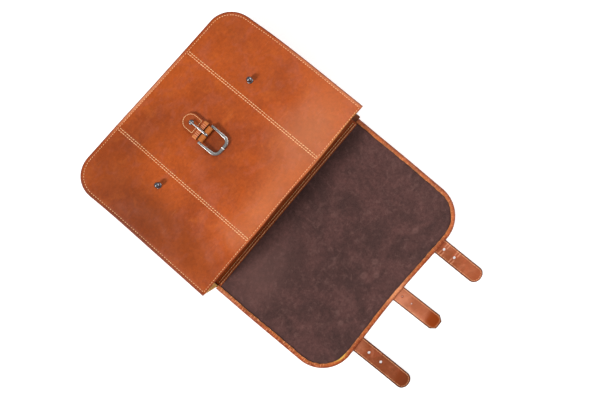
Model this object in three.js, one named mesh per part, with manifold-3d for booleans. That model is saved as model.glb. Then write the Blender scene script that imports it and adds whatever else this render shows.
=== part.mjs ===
// Leather satchel lying on its back, its flap folded open on the floor.
// Millimetres. X runs across the bag, +Y to its bottom, -Y to the mouth and the flap, +Z up.
// While it is built, y = 0 is the mouth edge of the front; the whole bag is centred at the end.
import * as THREE from "three";
import { mergeVertices } from "three/addons/utils/BufferGeometryUtils.js";
import Module from "manifold-3d";

const wasm = await Module();
wasm.setup();

const { clamp, lerp, smoothstep, degToRad } = THREE.MathUtils;

// Leather thicknesses and the gap between neighbours
const GAP = 0.3;
const PANEL_THICK = 2.0;
const GUSSET_THICK = 1.8;
const FLAP_THICK = 1.8;
const SUEDE_THICK = 1.2;
const BINDING_THICK = 1.0;
const BAND_THICK = 1.5;
const STRAP_THICK = 2.8;
const CHAPE_THICK = 1.6;
const KEEPER_THICK = 1.2;

// Body: front and back panels with the gusset between them
const MOUTH_WIDTH = 388.6;
const BOTTOM_WIDTH = 378;
const BODY_HEIGHT = 277;
const BODY_CORNER = 45;
const BOTTOM_SLANT = 0.03; // how far off square the bottom edge runs
const MOUTH_DEPTH = 90; // floor to the top of the front, at the mouth
const BOTTOM_DEPTH = 76; // floor to the top of the front, at the bottom
const FRONT_CROWN = 8; // rise of the front's middle over its edges
const CROWN_FALL = 1.5; // how late the crown fades towards the bottom
const SEAM_MARGIN = 7; // width of the out-turned seams
const FLANGE_REACH = 6.6;
const BOTTOM_BULGE = 2; // outward bulge of the gusset at the bottom
const BACK_OVERHANG = 6.6; // the back reaches this far past the front's mouth edge
const END_FADE = 70; // length over which the gusset's ends at the mouth take their own shape
const FITTINGS_X = 2; // buckle and studs sit this far off the middle of the front

// Shallow dents (and swellings, where the depth is negative) of the front
const FRONT_DENTS = [
  { x: -128, y: 62, reach: 46, depth: 3.0 },
  { x: -35, y: 52, reach: 40, depth: -2.0 },
  { x: 62, y: 70, reach: 44, depth: 2.5 },
  { x: 140, y: 150, reach: 48, depth: -2.2 },
  { x: -60, y: 225, reach: 44, depth: 2.6 },
  { x: 75, y: 228, reach: 40, depth: 1.8 },
  { x: -150, y: 175, reach: 40, depth: -2.0 },
];

// The soft outline is a little uneven: how far it is pushed across and down round a place
const OUTLINE_SHIFTS = [
  { x: -178, y: 262, reach: 70, across: -2.6, down: 1 },
  { x: -85, y: 277, reach: 95, across: 0, down: 0.9 },
  { x: 182, y: 245, reach: 62, across: -2.4, down: 1 },
  { x: 192, y: 120, reach: 110, across: 1, down: 0 },
];

// Gusset section from the back flange to the front flange
const GUSSET_SECTION = [
  { out: FLANGE_REACH, share: 0, bulge: 0 },
  { out: 3.2, share: 0, bulge: 0 },
  { out: 1.1, share: 0.012, bulge: 0 },
  { out: 0, share: 0.05, bulge: 0 },
  { out: 0, share: 0.27, bulge: 0.6 },
  { out: 0, share: 0.5, bulge: 1 },
  { out: 0, share: 0.73, bulge: 0.6 },
  { out: 0, share: 0.95, bulge: 0 },
  { out: 1.1, share: 0.988, bulge: 0 },
  { out: 3.2, share: 1, bulge: 0 },
  { out: FLANGE_REACH, share: 1, bulge: 0 },
];

// Gusset's ends at the mouth: how far the foot leans out past the mouth edge, how far the wall stands
// out at its top and at its foot, and its bulge, which is a fold inward where it is negative
const LEFT_END = { rake: BACK_OVERHANG, top: 4, foot: -3, bulge: 0.5 };
const RIGHT_END = { rake: -3, top: 0, foot: 0, bulge: -6 };

// Flap: outside leather, suede lining, rolled binding and the band over its root
const FLAP_START = BACK_OVERHANG + 0.4;
const FLAP_REACH = 255; // mouth edge to the far edge of the flap
const FLAP_WIDTH = 380.6;
const FLAP_CORNER = 61;
const FAR_DIP = 4.2; // how far the far edge curves in at its middle
const DIP_REACH = 100;
const FAR_TILT = 1; // how far the far edge comes in at the right, and goes out at the left
const BINDING_GAP = 0.5;
const BINDING_LEG = 8;
const BINDING_START = FLAP_START;
const BINDING_TURN = 4; // steps round its nose
const BINDING_SLOT = FLAP_THICK + GAP + SUEDE_THICK + 2 * BINDING_GAP;
const BINDING_RADIUS = (BINDING_SLOT + BINDING_THICK) / 2;
const FLAP_INSET = 2.4; // edge of the flap's layers inside the binding
const LINING_START = 10.9;
const STACK_LIFT = (GAP + SUEDE_THICK) / 2; // middle of the two layers over the middle of the flap
const FLAP_LOW = BINDING_RADIUS + BINDING_THICK / 2 - STACK_LIFT + 0.1;
const FLAP_HIGH = FLAP_LOW + STRAP_THICK + GAP;
const FLAP_RISE_FROM = 12;
const FLAP_RISE_TO = 125;
const BAND_HALF = 181.8;
const BAND_OVER_BACK = 5;
const BAND_OVER_FLAP = 10.5;
const BAND_STEP_FROM = 2.6; // where the band starts to climb from the back to the flap
const BAND_STEP_TO = 6;

// Soft swellings of the flap as it lies
const FLAP_WAVES = [
  { x: -150, reach: 75, out: 66, height: 3.2 },
  { x: 140, reach: 80, out: 130, height: 3.6 },
  { x: -20, reach: 85, out: 118, height: 2.4 },
  { x: 60, reach: 60, out: 215, height: 1.8 },
];

// Straps: where each leaves the flap, how much of it shows, its holes from the flap's edge
const STRAP_WIDTH = 29;
const STRAP_ROOT = 105; // length under the flap
const STRAP_TIP = 12;
const CLIP_LENGTH = 9; // the clipped tip: its length and half of its flat end
const CLIP_FLAT = 7.5;
const STRAPS = [
  { name: "strap_left", x: -105.8, shown: 109, swing: 1.3, holes: [23.4, 49.2], bore: 5, clipped: false },
  { name: "strap_centre", x: 4.9, shown: 83.9, swing: 2.0, holes: [5.2, 25.2], bore: 2.6, clipped: true },
  { name: "strap_right", x: 112.9, shown: 87.3, swing: 1.0, holes: [8, 30.5], bore: 5, clipped: false },
];

// Buckle on the front: heights are over the front's surface, distances from the bar's middle
const BUCKLE_Y = 158;
const BAR_HEIGHT = 6.2;
const BAR_RADIUS = 1.8;
const FRAME_HALF = 18.5; // half width over all
const FRAME_ROOT = 3; // width of the arms at the bar
const FRAME_END = 5.2; // width of the arms at the corners, and of the far end
const FRAME_THICK = 3.6;
const FRAME_REACH = 36.5;
const FRAME_CORNER = 12;
const FRAME_HEEL = 2;
const FRAME_BEVEL = 0.8;
const FRAME_NOTCH = 2.2; // half width of the dip where the prong's tip lies
const PRONG_REACH = 33.5;
const PRONG_WIDTH = 3.2;
const PRONG_ROOT = 1.2; // half thickness at the eye
const PRONG_END = 0.9; // half thickness at the tip
const PRONG_EYE = 3.9;
const PRONG_LEAN = degToRad(5.5);
const PRONG_BEVEL = 0.4;
const LOOP_HALF = 13.8; // half width of the chape where it passes through the frame
const CHAPE_HALF = 14.5;
const CHAPE_REACH = 47;
const CHAPE_TAIL = 24; // end of the under layer
const CHAPE_END = degToRad(78); // where the round end is cut straight
const CHAPE_UNDER = [
  { y: CHAPE_TAIL, rise: 0 },
  { y: 10, rise: 0 },
  { y: 5.4, rise: 0.3 },
  { y: 2.2, rise: 1.3 },
];
const CHAPE_FALL = [
  { y: 4.4, rise: 2.4 },
  { y: 5.4, rise: 1.0 },
];
const CHAPE_LANDING = 1.2; // it lies flat this far before the keeper
const LOOP_FROM = degToRad(-100); // the part of the loop that hugs the bar
const LOOP_TO = degToRad(-320);
const SLOT_HALF = 2.3;
const KEEPER_FROM = 7.8;
const KEEPER_TO = 15.6;
const KEEPER_HALF = 16.2;
const KEEPER_BEND = [
  { inward: 0, drop: 2 },
  { inward: 0.3, drop: 0.5 },
  { inward: 1, drop: 0 },
];
const RIVET_Y = 31.2;
const RIVET_RADIUS = 4;
const RIVET_HEIGHT = 1.8;
const RIVET_RIM = 0.5;

// Ball studs: radius and height over the seat
const STUD_X = 109;
const STUD_Y = 163.5;
const STUD_BALL = 4.7;
const STUD_BALL_HEIGHT = 7.4;
const STUD_PROFILE = [
  { radius: 0, height: 0 },
  { radius: 5, height: 0 },
  { radius: 5, height: 0.8 },
  { radius: 4.3, height: 1.4 },
  { radius: 2.6, height: 1.7 },
  { radius: 2.4, height: 2.9 },
];

// Steps that the curves are cut into
const BODY_STRAIGHT = 8;
const BODY_TURN = 6;
const FRONT_COLUMNS = 16;
const FLAP_STRAIGHT = 10;
const FLAP_TURN = 6;
const FLAP_COLUMNS = 16;
const EDGE_STEPS = 12;
const ROUND_STEPS = 16;

const TAN_LEATHER = { color: 0xb3562c, roughness: 0.5, metalness: 0 };
const OCHRE_LEATHER = { color: 0xa5652f, roughness: 0.65, metalness: 0 };
const EDGE_LEATHER = { color: 0xc4692f, roughness: 0.5, metalness: 0 };
const STRAP_LEATHER = { color: 0xb2694b, roughness: 0.5, metalness: 0 };
const DARK_SUEDE = { color: 0x533935, roughness: 0.95, metalness: 0 };
const NICKEL = { color: 0xbdb8b2, roughness: 0.25, metalness: 1 };
const GUNMETAL = { color: 0x5d5f66, roughness: 0.3, metalness: 1 };

// A named piece with a finish of its own
function piece(name, geometry, finish) {
  const mesh = new THREE.Mesh(geometry, new THREE.MeshStandardMaterial(finish));
  mesh.name = name;
  return mesh;
}

// Closed solid of even thickness round a grid of points on its middle surface
function sheet(grid, thickness) {
  const rows = grid.length;
  const columns = grid[0].length;
  const positions = [];
  const row = (i) => grid[clamp(i, 0, rows - 1)];
  const at = (i, j) => row(i)[clamp(j, 0, columns - 1)];
  for (const side of [1, -1]) {
    for (let i = 0; i < rows; i += 1) {
      for (let j = 0; j < columns; j += 1) {
        const along = at(i + 1, j).clone().sub(at(i - 1, j));
        const across = at(i, j + 1).clone().sub(at(i, j - 1));
        const normal = along.cross(across).normalize();
        positions.push(...at(i, j).clone().addScaledVector(normal, (side * thickness) / 2).toArray());
      }
    }
  }
  const under = rows * columns;
  const index = [];
  const quad = (a, b, c, d) => index.push(a, b, c, a, c, d);
  for (let i = 0; i + 1 < rows; i += 1) {
    for (let j = 0; j + 1 < columns; j += 1) {
      const a = i * columns + j;
      const b = a + columns;
      quad(a, b, b + 1, a + 1);
      quad(under + a, under + a + 1, under + b + 1, under + b);
    }
  }
  const wall = (a, b) => quad(a, b, under + b, under + a);
  for (let j = 0; j + 1 < columns; j += 1) {
    wall(j, j + 1);
    wall((rows - 1) * columns + j + 1, (rows - 1) * columns + j);
  }
  for (let i = 0; i + 1 < rows; i += 1) {
    wall((i + 1) * columns, i * columns);
    wall(i * columns + columns - 1, (i + 1) * columns + columns - 1);
  }
  const geometry = new THREE.BufferGeometry();
  geometry.setAttribute("position", new THREE.Float32BufferAttribute(positions, 3));
  geometry.setIndex(index);
  geometry.computeVertexNormals();
  return geometry;
}

// Manifold solid of a closed geometry, and back again
function toSolid(geometry) {
  const bare = geometry.clone();
  bare.deleteAttribute("normal");
  bare.deleteAttribute("uv");
  const merged = mergeVertices(bare, 1e-4);
  return new wasm.Manifold(
    new wasm.Mesh({
      numProp: 3,
      vertProperties: new Float32Array(merged.attributes.position.array),
      triVerts: new Uint32Array(merged.index.array),
    }),
  );
}

function toGeometry(solid) {
  const mesh = solid.getMesh();
  const geometry = new THREE.BufferGeometry();
  geometry.setAttribute("position", new THREE.BufferAttribute(mesh.vertProperties, 3));
  geometry.setIndex(new THREE.BufferAttribute(mesh.triVerts, 1));
  geometry.computeVertexNormals();
  return geometry;
}

// Even steps from one value to another, both ends included
function steps(from, to, count) {
  return Array.from({ length: count + 1 }, (_, k) => lerp(from, to, k / count));
}

// Sum of soft round bumps from a table
function bumps(table, along, height, x, distance) {
  let sum = 0;
  for (const row of table) {
    const away = ((x - row.x) ** 2 + (distance - row[along]) ** 2) / row.reach ** 2;
    sum += row[height] * Math.exp(-2 * away);
  }
  return sum;
}

// Rows of a panel with two round corners: how far down each row lies and its half width
function roundedRows(from, to, corner, inset, halfAt, straight, turn) {
  const bend = to - corner;
  const radius = corner - inset;
  const rows = steps(from, bend, straight).map((down) => ({ down, half: halfAt(down) - inset }));
  for (const angle of steps(0, Math.PI / 2, turn).slice(1)) {
    rows.push({
      down: bend + radius * Math.sin(angle),
      half: halfAt(bend) - corner + radius * Math.cos(angle),
    });
  }
  return rows;
}

// Path round the same panel's open U from its right root to its left, with the way outward
function roundedPath(from, to, corner, inset, halfAt, straight, turn) {
  const bend = to - corner;
  const radius = corner - inset;
  const centre = halfAt(bend) - corner;
  const right = steps(from, bend, straight).map((down) => ({
    x: halfAt(down) - inset,
    down,
    outX: 1,
    outDown: 0,
  }));
  for (const angle of steps(0, Math.PI / 2, turn).slice(1)) {
    const outX = Math.cos(angle);
    const outDown = Math.sin(angle);
    right.push({ x: centre + radius * outX, down: bend + radius * outDown, outX, outDown });
  }
  const left = right.map((point) => ({ ...point, x: -point.x, outX: -point.outX })).reverse();
  const end = steps(centre, -centre, EDGE_STEPS)
    .slice(1, -1)
    .map((x) => ({ x, down: to - inset, outX: 0, outDown: 1 }));
  return [...right, ...end, ...left];
}

// Body
function bodyHalf(down) {
  return lerp(MOUTH_WIDTH, BOTTOM_WIDTH, down / BODY_HEIGHT) / 2;
}

function bodyX(x, down) {
  return x + bumps(OUTLINE_SHIFTS, "y", "across", x, down);
}

function bodyY(x, down) {
  return down - BOTTOM_SLANT * x * (down / BODY_HEIGHT) + bumps(OUTLINE_SHIFTS, "y", "down", x, down);
}

// Height of the front's middle surface
function frontMid(x, down) {
  const share = clamp(down / BODY_HEIGHT, 0, 1);
  const plane = lerp(MOUTH_DEPTH, BOTTOM_DEPTH, share) - PANEL_THICK / 2;
  const across = Math.max(1 - (x / bodyHalf(down)) ** 2, 0);
  const crown = FRONT_CROWN * across * Math.cos((Math.PI / 2) * share ** CROWN_FALL);
  const settle = smoothstep(across, 0.05, 0.35) * smoothstep(1 - share, 0.02, 0.15);
  return plane + crown - settle * bumps(FRONT_DENTS, "y", "depth", x, down);
}

function frontPanel() {
  const rows = roundedRows(0, BODY_HEIGHT, BODY_CORNER, 0, bodyHalf, BODY_STRAIGHT, BODY_TURN);
  const grid = rows.map(({ down, half }) =>
    steps(half, -half, FRONT_COLUMNS).map(
      (x) => new THREE.Vector3(bodyX(x, down), bodyY(x, down), frontMid(x, down)),
    ),
  );
  return piece("front_panel", sheet(grid, PANEL_THICK), TAN_LEATHER);
}

function backPanel() {
  const rows = roundedRows(
    -BACK_OVERHANG, BODY_HEIGHT, BODY_CORNER, 0, bodyHalf, BODY_STRAIGHT, BODY_TURN,
  );
  const grid = rows.map(({ down, half }) =>
    [half, -half].map((x) => new THREE.Vector3(bodyX(x, down), bodyY(x, down), PANEL_THICK / 2)),
  );
  return piece("back_panel", sheet(grid, PANEL_THICK), TAN_LEATHER);
}

function gusset() {
  const path = roundedPath(
    0, BODY_HEIGHT, BODY_CORNER, SEAM_MARGIN, bodyHalf, BODY_STRAIGHT, BODY_TURN,
  );
  const low = PANEL_THICK + GAP + GUSSET_THICK / 2;
  const drop = PANEL_THICK / 2 + GAP + GUSSET_THICK / 2;
  const grid = path.map((point) => {
    const end = point.x < 0 ? LEFT_END : RIGHT_END;
    const near = 1 - smoothstep(point.down, 0, END_FADE);
    const bulge = lerp(end.bulge, BOTTOM_BULGE, smoothstep(point.down, 0, BODY_HEIGHT));
    return GUSSET_SECTION.map((row) => {
      const lean = near * lerp(end.foot, end.top, row.share) * (1 - row.out / FLANGE_REACH);
      const out = row.out + row.bulge * bulge + lean;
      const x = point.x + point.outX * out;
      const down = point.down + point.outDown * out;
      const y = bodyY(x, down) - near * end.rake * (1 - row.share);
      const z = lerp(low, frontMid(x, down) - drop, row.share);
      return new THREE.Vector3(bodyX(x, down), y, z);
    });
  });
  return piece("gusset", sheet(grid, GUSSET_THICK), OCHRE_LEATHER);
}

// Flap: "out" is the distance from the mouth edge, towards -Y
function flapHalf() {
  return FLAP_WIDTH / 2;
}

// The far edge of the flap curves in a little at its middle and is a little off square
function flapY(x, out) {
  const dip = FAR_DIP * Math.exp(-((x / DIP_REACH) ** 2)) + (2 * FAR_TILT * x) / FLAP_WIDTH;
  return dip * (out / FLAP_REACH) ** 2 - out;
}

// Height of the middle of the flap's outside leather
function flapMid(x, out) {
  const lift = lerp(FLAP_LOW, FLAP_HIGH, smoothstep(out, FLAP_RISE_FROM, FLAP_RISE_TO));
  const root = smoothstep(out, FLAP_RISE_FROM, FLAP_RISE_TO / 2);
  return lift + root * bumps(FLAP_WAVES, "out", "height", x, out);
}

// One layer of the flap, lifted over the middle of the outside leather
function flapLayer(from, lift) {
  const rows = roundedRows(
    from, FLAP_REACH, FLAP_CORNER, FLAP_INSET, flapHalf, FLAP_STRAIGHT, FLAP_TURN,
  );
  return rows.map(({ down, half }) =>
    steps(half, -half, FLAP_COLUMNS).map(
      (x) => new THREE.Vector3(x, flapY(x, down), flapMid(x, down) + lift),
    ),
  );
}

function flapOuter() {
  return piece("flap_outer", sheet(flapLayer(FLAP_START, 0), FLAP_THICK), TAN_LEATHER);
}

function flapLining() {
  const lift = FLAP_THICK / 2 + GAP + SUEDE_THICK / 2;
  return piece("flap_lining", sheet(flapLayer(LINING_START, lift), SUEDE_THICK), DARK_SUEDE);
}

// Rolled edge: a channel that the flap's layers stand in
function flapBinding() {
  const nose = BINDING_THICK / 2 + BINDING_RADIUS;
  const section = [-1, 1].flatMap((side) => {
    const leg = [BINDING_LEG, (BINDING_LEG + nose) / 2].map((depth) => ({
      depth,
      rise: side * BINDING_RADIUS,
    }));
    return side < 0 ? leg : leg.reverse();
  });
  const round = steps(-Math.PI / 2, Math.PI / 2, BINDING_TURN).map((angle) => ({
    depth: nose - BINDING_RADIUS * Math.cos(angle),
    rise: BINDING_RADIUS * Math.sin(angle),
  }));
  section.splice(2, 0, ...round);
  const path = roundedPath(
    BINDING_START, FLAP_REACH, FLAP_CORNER, 0, flapHalf, FLAP_STRAIGHT, FLAP_TURN,
  );
  const grid = path.map((point) =>
    section.map(({ depth, rise }) => {
      const x = point.x - point.outX * depth;
      const out = point.down - point.outDown * depth;
      return new THREE.Vector3(x, flapY(x, out), flapMid(x, out) + STACK_LIFT + rise);
    }),
  );
  return piece("flap_binding", sheet(grid, BINDING_THICK), EDGE_LEATHER);
}

// Stitched band over the joint between the back and the flap
function hingeBand() {
  const overBack = PANEL_THICK + GAP + BAND_THICK / 2;
  const overFlap = FLAP_LOW + FLAP_THICK / 2 + GAP + BAND_THICK / 2;
  const profile = [
    { out: -BAND_OVER_BACK, height: overBack },
    { out: BAND_STEP_FROM, height: overBack },
    { out: BAND_STEP_TO, height: overFlap },
    { out: BAND_OVER_FLAP, height: overFlap },
  ];
  const grid = profile.map(({ out, height }) =>
    [BAND_HALF, -BAND_HALF].map((x) => new THREE.Vector3(x, -out, height)),
  );
  return piece("hinge_band", sheet(grid, BAND_THICK), TAN_LEATHER);
}

// A strap lying flat, its root under the flap and its tip away from the bag
function strap({ name, x, shown, swing, holes, bore, clipped }) {
  const half = STRAP_WIDTH / 2;
  const shape = new THREE.Shape();
  shape.moveTo(-half, STRAP_ROOT);
  if (clipped) {
    shape.lineTo(-half, CLIP_LENGTH - shown);
    shape.lineTo(-CLIP_FLAT, -shown);
    shape.lineTo(CLIP_FLAT, -shown);
    shape.lineTo(half, CLIP_LENGTH - shown);
  } else {
    shape.lineTo(-half, STRAP_TIP - shown);
    shape.absellipse(0, STRAP_TIP - shown, half, STRAP_TIP, Math.PI, 2 * Math.PI, false);
  }
  shape.lineTo(half, STRAP_ROOT);
  shape.closePath();
  for (const distance of holes) {
    const hole = new THREE.Path();
    hole.absarc(0, -distance, bore / 2, 0, 2 * Math.PI, true);
    shape.holes.push(hole);
  }
  const geometry = new THREE.ExtrudeGeometry(shape, {
    depth: STRAP_THICK,
    bevelEnabled: false,
    curveSegments: ROUND_STEPS / 2,
  });
  const mesh = piece(name, geometry, STRAP_LEATHER);
  mesh.position.set(x, -FLAP_REACH, 0);
  mesh.rotation.z = degToRad(swing);
  return mesh;
}

// Turned solid about the Z axis from a table of radii and heights
function turned(profile) {
  const points = profile.map(({ radius, height }) => new THREE.Vector2(radius, height));
  return new THREE.LatheGeometry(points, ROUND_STEPS).rotateX(Math.PI / 2);
}

// Place on the front's surface, standing square to it
function frontSeat(x, down) {
  const step = 1;
  const slopeX = (frontMid(x + step, down) - frontMid(x - step, down)) / (2 * step);
  const slopeY = (frontMid(x, down + step) - frontMid(x, down - step)) / (2 * step);
  const normal = new THREE.Vector3(-slopeX, -slopeY, 1).normalize();
  const seat = new THREE.Group();
  seat.position.set(bodyX(x, down), bodyY(x, down), frontMid(x, down) + PANEL_THICK / 2);
  seat.quaternion.setFromUnitVectors(new THREE.Vector3(0, 0, 1), normal);
  return seat;
}

function stud(name, side) {
  const neck = STUD_PROFILE[STUD_PROFILE.length - 1];
  const start = -Math.acos(neck.radius / STUD_BALL);
  const ball = steps(start, Math.PI / 2, ROUND_STEPS / 2).map((angle) => ({
    radius: angle === Math.PI / 2 ? 0 : STUD_BALL * Math.cos(angle),
    height: STUD_BALL_HEIGHT + STUD_BALL * Math.sin(angle),
  }));
  const seat = frontSeat(FITTINGS_X + side * STUD_X, STUD_Y);
  const mesh = piece(name, turned([...STUD_PROFILE, ...ball]), GUNMETAL);
  mesh.position.z = GAP;
  seat.add(mesh);
  return seat;
}

// Buckle frame: a U with rounded corners, open towards the chape, and the bar across it
function buckleFrame() {
  const outer = FRAME_HALF;
  const root = FRAME_HALF - FRAME_ROOT;
  const inner = FRAME_HALF - FRAME_END;
  const innerEnd = FRAME_REACH - FRAME_END;
  const innerCorner = FRAME_CORNER - FRAME_END;
  const shape = new THREE.Shape();
  shape.moveTo(-outer, FRAME_HEEL);
  shape.lineTo(-outer, FRAME_CORNER - FRAME_REACH);
  shape.absarc(FRAME_CORNER - outer, FRAME_CORNER - FRAME_REACH, FRAME_CORNER, Math.PI, 1.5 * Math.PI);
  shape.absarc(outer - FRAME_CORNER, FRAME_CORNER - FRAME_REACH, FRAME_CORNER, 1.5 * Math.PI, 2 * Math.PI);
  shape.lineTo(outer, FRAME_HEEL);
  shape.lineTo(root, FRAME_HEEL);
  shape.lineTo(inner, innerCorner - innerEnd);
  shape.absarc(inner - innerCorner, innerCorner - innerEnd, innerCorner, 0, -Math.PI / 2, true);
  shape.lineTo(FRAME_NOTCH, -innerEnd);
  shape.lineTo(0, -innerEnd - FRAME_BEVEL);
  shape.lineTo(-FRAME_NOTCH, -innerEnd);
  shape.absarc(innerCorner - inner, innerCorner - innerEnd, innerCorner, -Math.PI / 2, -Math.PI, true);
  shape.lineTo(-root, FRAME_HEEL);
  shape.closePath();
  const frame = new THREE.ExtrudeGeometry(shape, {
    depth: FRAME_THICK - 2 * FRAME_BEVEL,
    bevelThickness: FRAME_BEVEL,
    bevelSize: FRAME_BEVEL,
    bevelOffset: -FRAME_BEVEL,
    bevelSegments: 2,
    curveSegments: 6,
  });
  frame.translate(0, 0, FRAME_BEVEL - FRAME_THICK / 2);
  const length = 2 * FRAME_HALF - FRAME_ROOT;
  const bar = new THREE.CylinderGeometry(BAR_RADIUS, BAR_RADIUS, length, ROUND_STEPS).rotateZ(Math.PI / 2);
  const mesh = piece("buckle_frame", toGeometry(toSolid(frame).add(toSolid(bar))), NICKEL);
  mesh.position.z = BAR_HEIGHT;
  mesh.rotation.x = Math.asin((BAR_HEIGHT - GAP - FRAME_THICK / 2) / FRAME_REACH);
  return mesh;
}

// Prong: an eye on the bar and a tapered shank, drawn from the side and given its width along X
function buckleProng() {
  const clear = BAR_RADIUS + GAP;
  const open = Math.asin(PRONG_ROOT / PRONG_EYE);
  const shape = new THREE.Shape();
  shape.absarc(0, 0, PRONG_EYE, open, 2 * Math.PI - open, false);
  shape.lineTo(PRONG_REACH - PRONG_END, -PRONG_END);
  shape.absarc(PRONG_REACH - PRONG_END, 0, PRONG_END, -Math.PI / 2, Math.PI / 2, false);
  shape.closePath();
  const eye = new THREE.Path();
  eye.absarc(0, 0, clear + PRONG_BEVEL, 0, 2 * Math.PI, true);
  shape.holes.push(eye);
  const geometry = new THREE.ExtrudeGeometry(shape, {
    depth: PRONG_WIDTH - 2 * PRONG_BEVEL,
    bevelThickness: PRONG_BEVEL,
    bevelSize: PRONG_BEVEL,
    bevelOffset: -PRONG_BEVEL,
    bevelSegments: 1,
    curveSegments: ROUND_STEPS / 2,
  });
  geometry.translate(0, 0, PRONG_BEVEL - PRONG_WIDTH / 2);
  const sideways = new THREE.Matrix4().makeBasis(
    new THREE.Vector3(0, 1, 0),
    new THREE.Vector3(0, 0, 1),
    new THREE.Vector3(1, 0, 0),
  );
  const mesh = piece("buckle_prong", geometry.applyMatrix4(sideways), NICKEL);
  mesh.position.z = BAR_HEIGHT;
  mesh.rotation.x = PRONG_LEAN;
  return mesh;
}

// Chape: a strip that runs under, round the bar and back on top to a round end
function buckleChape() {
  const low = GAP + CHAPE_THICK / 2;
  const high = 2 * GAP + 1.5 * CHAPE_THICK;
  const loop = BAR_RADIUS + GAP + CHAPE_THICK / 2;
  const route = CHAPE_UNDER.map(({ y, rise }) => ({ y, z: low + rise, half: LOOP_HALF }));
  for (const angle of steps(LOOP_FROM, LOOP_TO, ROUND_STEPS / 2)) {
    route.push({ y: loop * Math.cos(angle), z: BAR_HEIGHT + loop * Math.sin(angle), half: LOOP_HALF });
  }
  for (const { y, rise } of CHAPE_FALL) {
    route.push({ y, z: high + rise, half: LOOP_HALF });
  }
  for (const y of [KEEPER_FROM - CHAPE_LANDING, KEEPER_FROM]) {
    route.push({ y, z: high, half: CHAPE_HALF });
  }
  const bend = CHAPE_REACH - CHAPE_HALF;
  for (const y of steps(bend / 2, bend, 2)) {
    route.push({ y, z: high, half: CHAPE_HALF });
  }
  for (const angle of steps(0, CHAPE_END, BODY_TURN).slice(1)) {
    route.push({
      y: bend + CHAPE_HALF * Math.sin(angle),
      z: high,
      half: CHAPE_HALF * Math.cos(angle),
    });
  }
  const grid = route.map(({ y, z, half }) => steps(half, -half, 4).map((x) => new THREE.Vector3(x, y, z)));
  const slotFrom = -(loop + CHAPE_THICK);
  const slotTo = KEEPER_FROM - 1.5;
  const slot = new THREE.BoxGeometry(2 * SLOT_HALF, slotTo - slotFrom, 3 * BAR_HEIGHT);
  slot.translate(0, (slotFrom + slotTo) / 2, BAR_HEIGHT);
  const solid = toSolid(sheet(grid, CHAPE_THICK)).subtract(toSolid(slot));
  return piece("buckle_chape", toGeometry(solid), TAN_LEATHER);
}

// Keeper: a flat loop over the chape, its feet on the front
function buckleKeeper() {
  const top = 3 * GAP + 2 * CHAPE_THICK + KEEPER_THICK / 2;
  const foot = { x: KEEPER_HALF, z: GAP };
  const bend = KEEPER_BEND.map(({ inward, drop }) => ({ x: KEEPER_HALF - inward, z: top - drop }));
  const arch = [foot, ...bend];
  const other = arch.map(({ x, z }) => ({ x: -x, z })).reverse();
  const grid = [...arch, { x: 0, z: top }, ...other].map(({ x, z }) =>
    [KEEPER_FROM, KEEPER_TO].map((y) => new THREE.Vector3(x, y, z)),
  );
  return piece("buckle_keeper", sheet(grid, KEEPER_THICK), TAN_LEATHER);
}

function chapeRivet() {
  const dome = steps(0, Math.PI / 2, BODY_TURN).map((angle) => ({
    radius: angle === Math.PI / 2 ? 0 : RIVET_RADIUS * Math.cos(angle),
    height: RIVET_RIM + (RIVET_HEIGHT - RIVET_RIM) * Math.sin(angle),
  }));
  const profile = [{ radius: 0, height: 0 }, { radius: RIVET_RADIUS, height: 0 }, ...dome];
  const mesh = piece("chape_rivet", turned(profile), GUNMETAL);
  mesh.position.set(0, RIVET_Y, 3 * GAP + 2 * CHAPE_THICK);
  return mesh;
}

function buckle() {
  const seat = frontSeat(FITTINGS_X, BUCKLE_Y);
  seat.add(buckleChape(), buckleKeeper(), chapeRivet(), buckleFrame(), buckleProng());
  return seat;
}

const bag = new THREE.Group();
bag.name = "leather_bag";
bag.add(frontPanel(), gusset(), backPanel(), hingeBand());
bag.add(flapOuter(), flapLining(), flapBinding());
bag.add(...STRAPS.map(strap));
bag.add(stud("stud_left", -1), stud("stud_right", 1), buckle());

// The footprint is centred on the origin
const middle = new THREE.Box3().setFromObject(bag, true).getCenter(new THREE.Vector3());
bag.position.set(-middle.x, -middle.y, 0);
bag.updateMatrixWorld(true);

export default bag;
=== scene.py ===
"""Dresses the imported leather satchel: polished hide, brushed suede, cream thread and plated metal.

Lengths are in mm where nothing else is said.
"""

import logging
import math
from collections.abc import Callable
from dataclasses import dataclass, field
from enum import Enum

import bpy
import numpy as np
from mathutils import Matrix, Vector
from mathutils.kdtree import KDTree


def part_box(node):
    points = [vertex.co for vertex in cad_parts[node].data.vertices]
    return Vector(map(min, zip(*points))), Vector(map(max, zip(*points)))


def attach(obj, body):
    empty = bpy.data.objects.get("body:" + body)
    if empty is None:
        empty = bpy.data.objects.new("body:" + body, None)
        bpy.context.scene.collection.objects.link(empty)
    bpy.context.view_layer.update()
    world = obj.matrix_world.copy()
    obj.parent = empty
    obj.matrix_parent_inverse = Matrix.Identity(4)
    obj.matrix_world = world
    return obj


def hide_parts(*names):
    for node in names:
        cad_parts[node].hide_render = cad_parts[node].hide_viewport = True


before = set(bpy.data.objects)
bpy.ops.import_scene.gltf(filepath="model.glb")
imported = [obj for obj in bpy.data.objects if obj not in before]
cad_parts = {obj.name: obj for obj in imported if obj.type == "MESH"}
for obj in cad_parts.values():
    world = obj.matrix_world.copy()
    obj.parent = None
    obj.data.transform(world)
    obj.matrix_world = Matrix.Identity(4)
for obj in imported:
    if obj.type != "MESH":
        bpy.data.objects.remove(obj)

LOG = logging.getLogger("satchel")
MM = 0.001
Array = np.ndarray
Point = tuple[float, float, float]
Colour = tuple[float, float, float]
Table = tuple[tuple[float, ...], ...]
Waves = tuple[tuple[float, float], ...]
Rows = list[tuple[float, ...]]
Material = bpy.types.Material
Piece = bpy.types.Object
Socket = bpy.types.NodeSocket
BAND_OVER_BACK = 5.0  # mm of the hinge band that lie over the back, past the mouth edge
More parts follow.
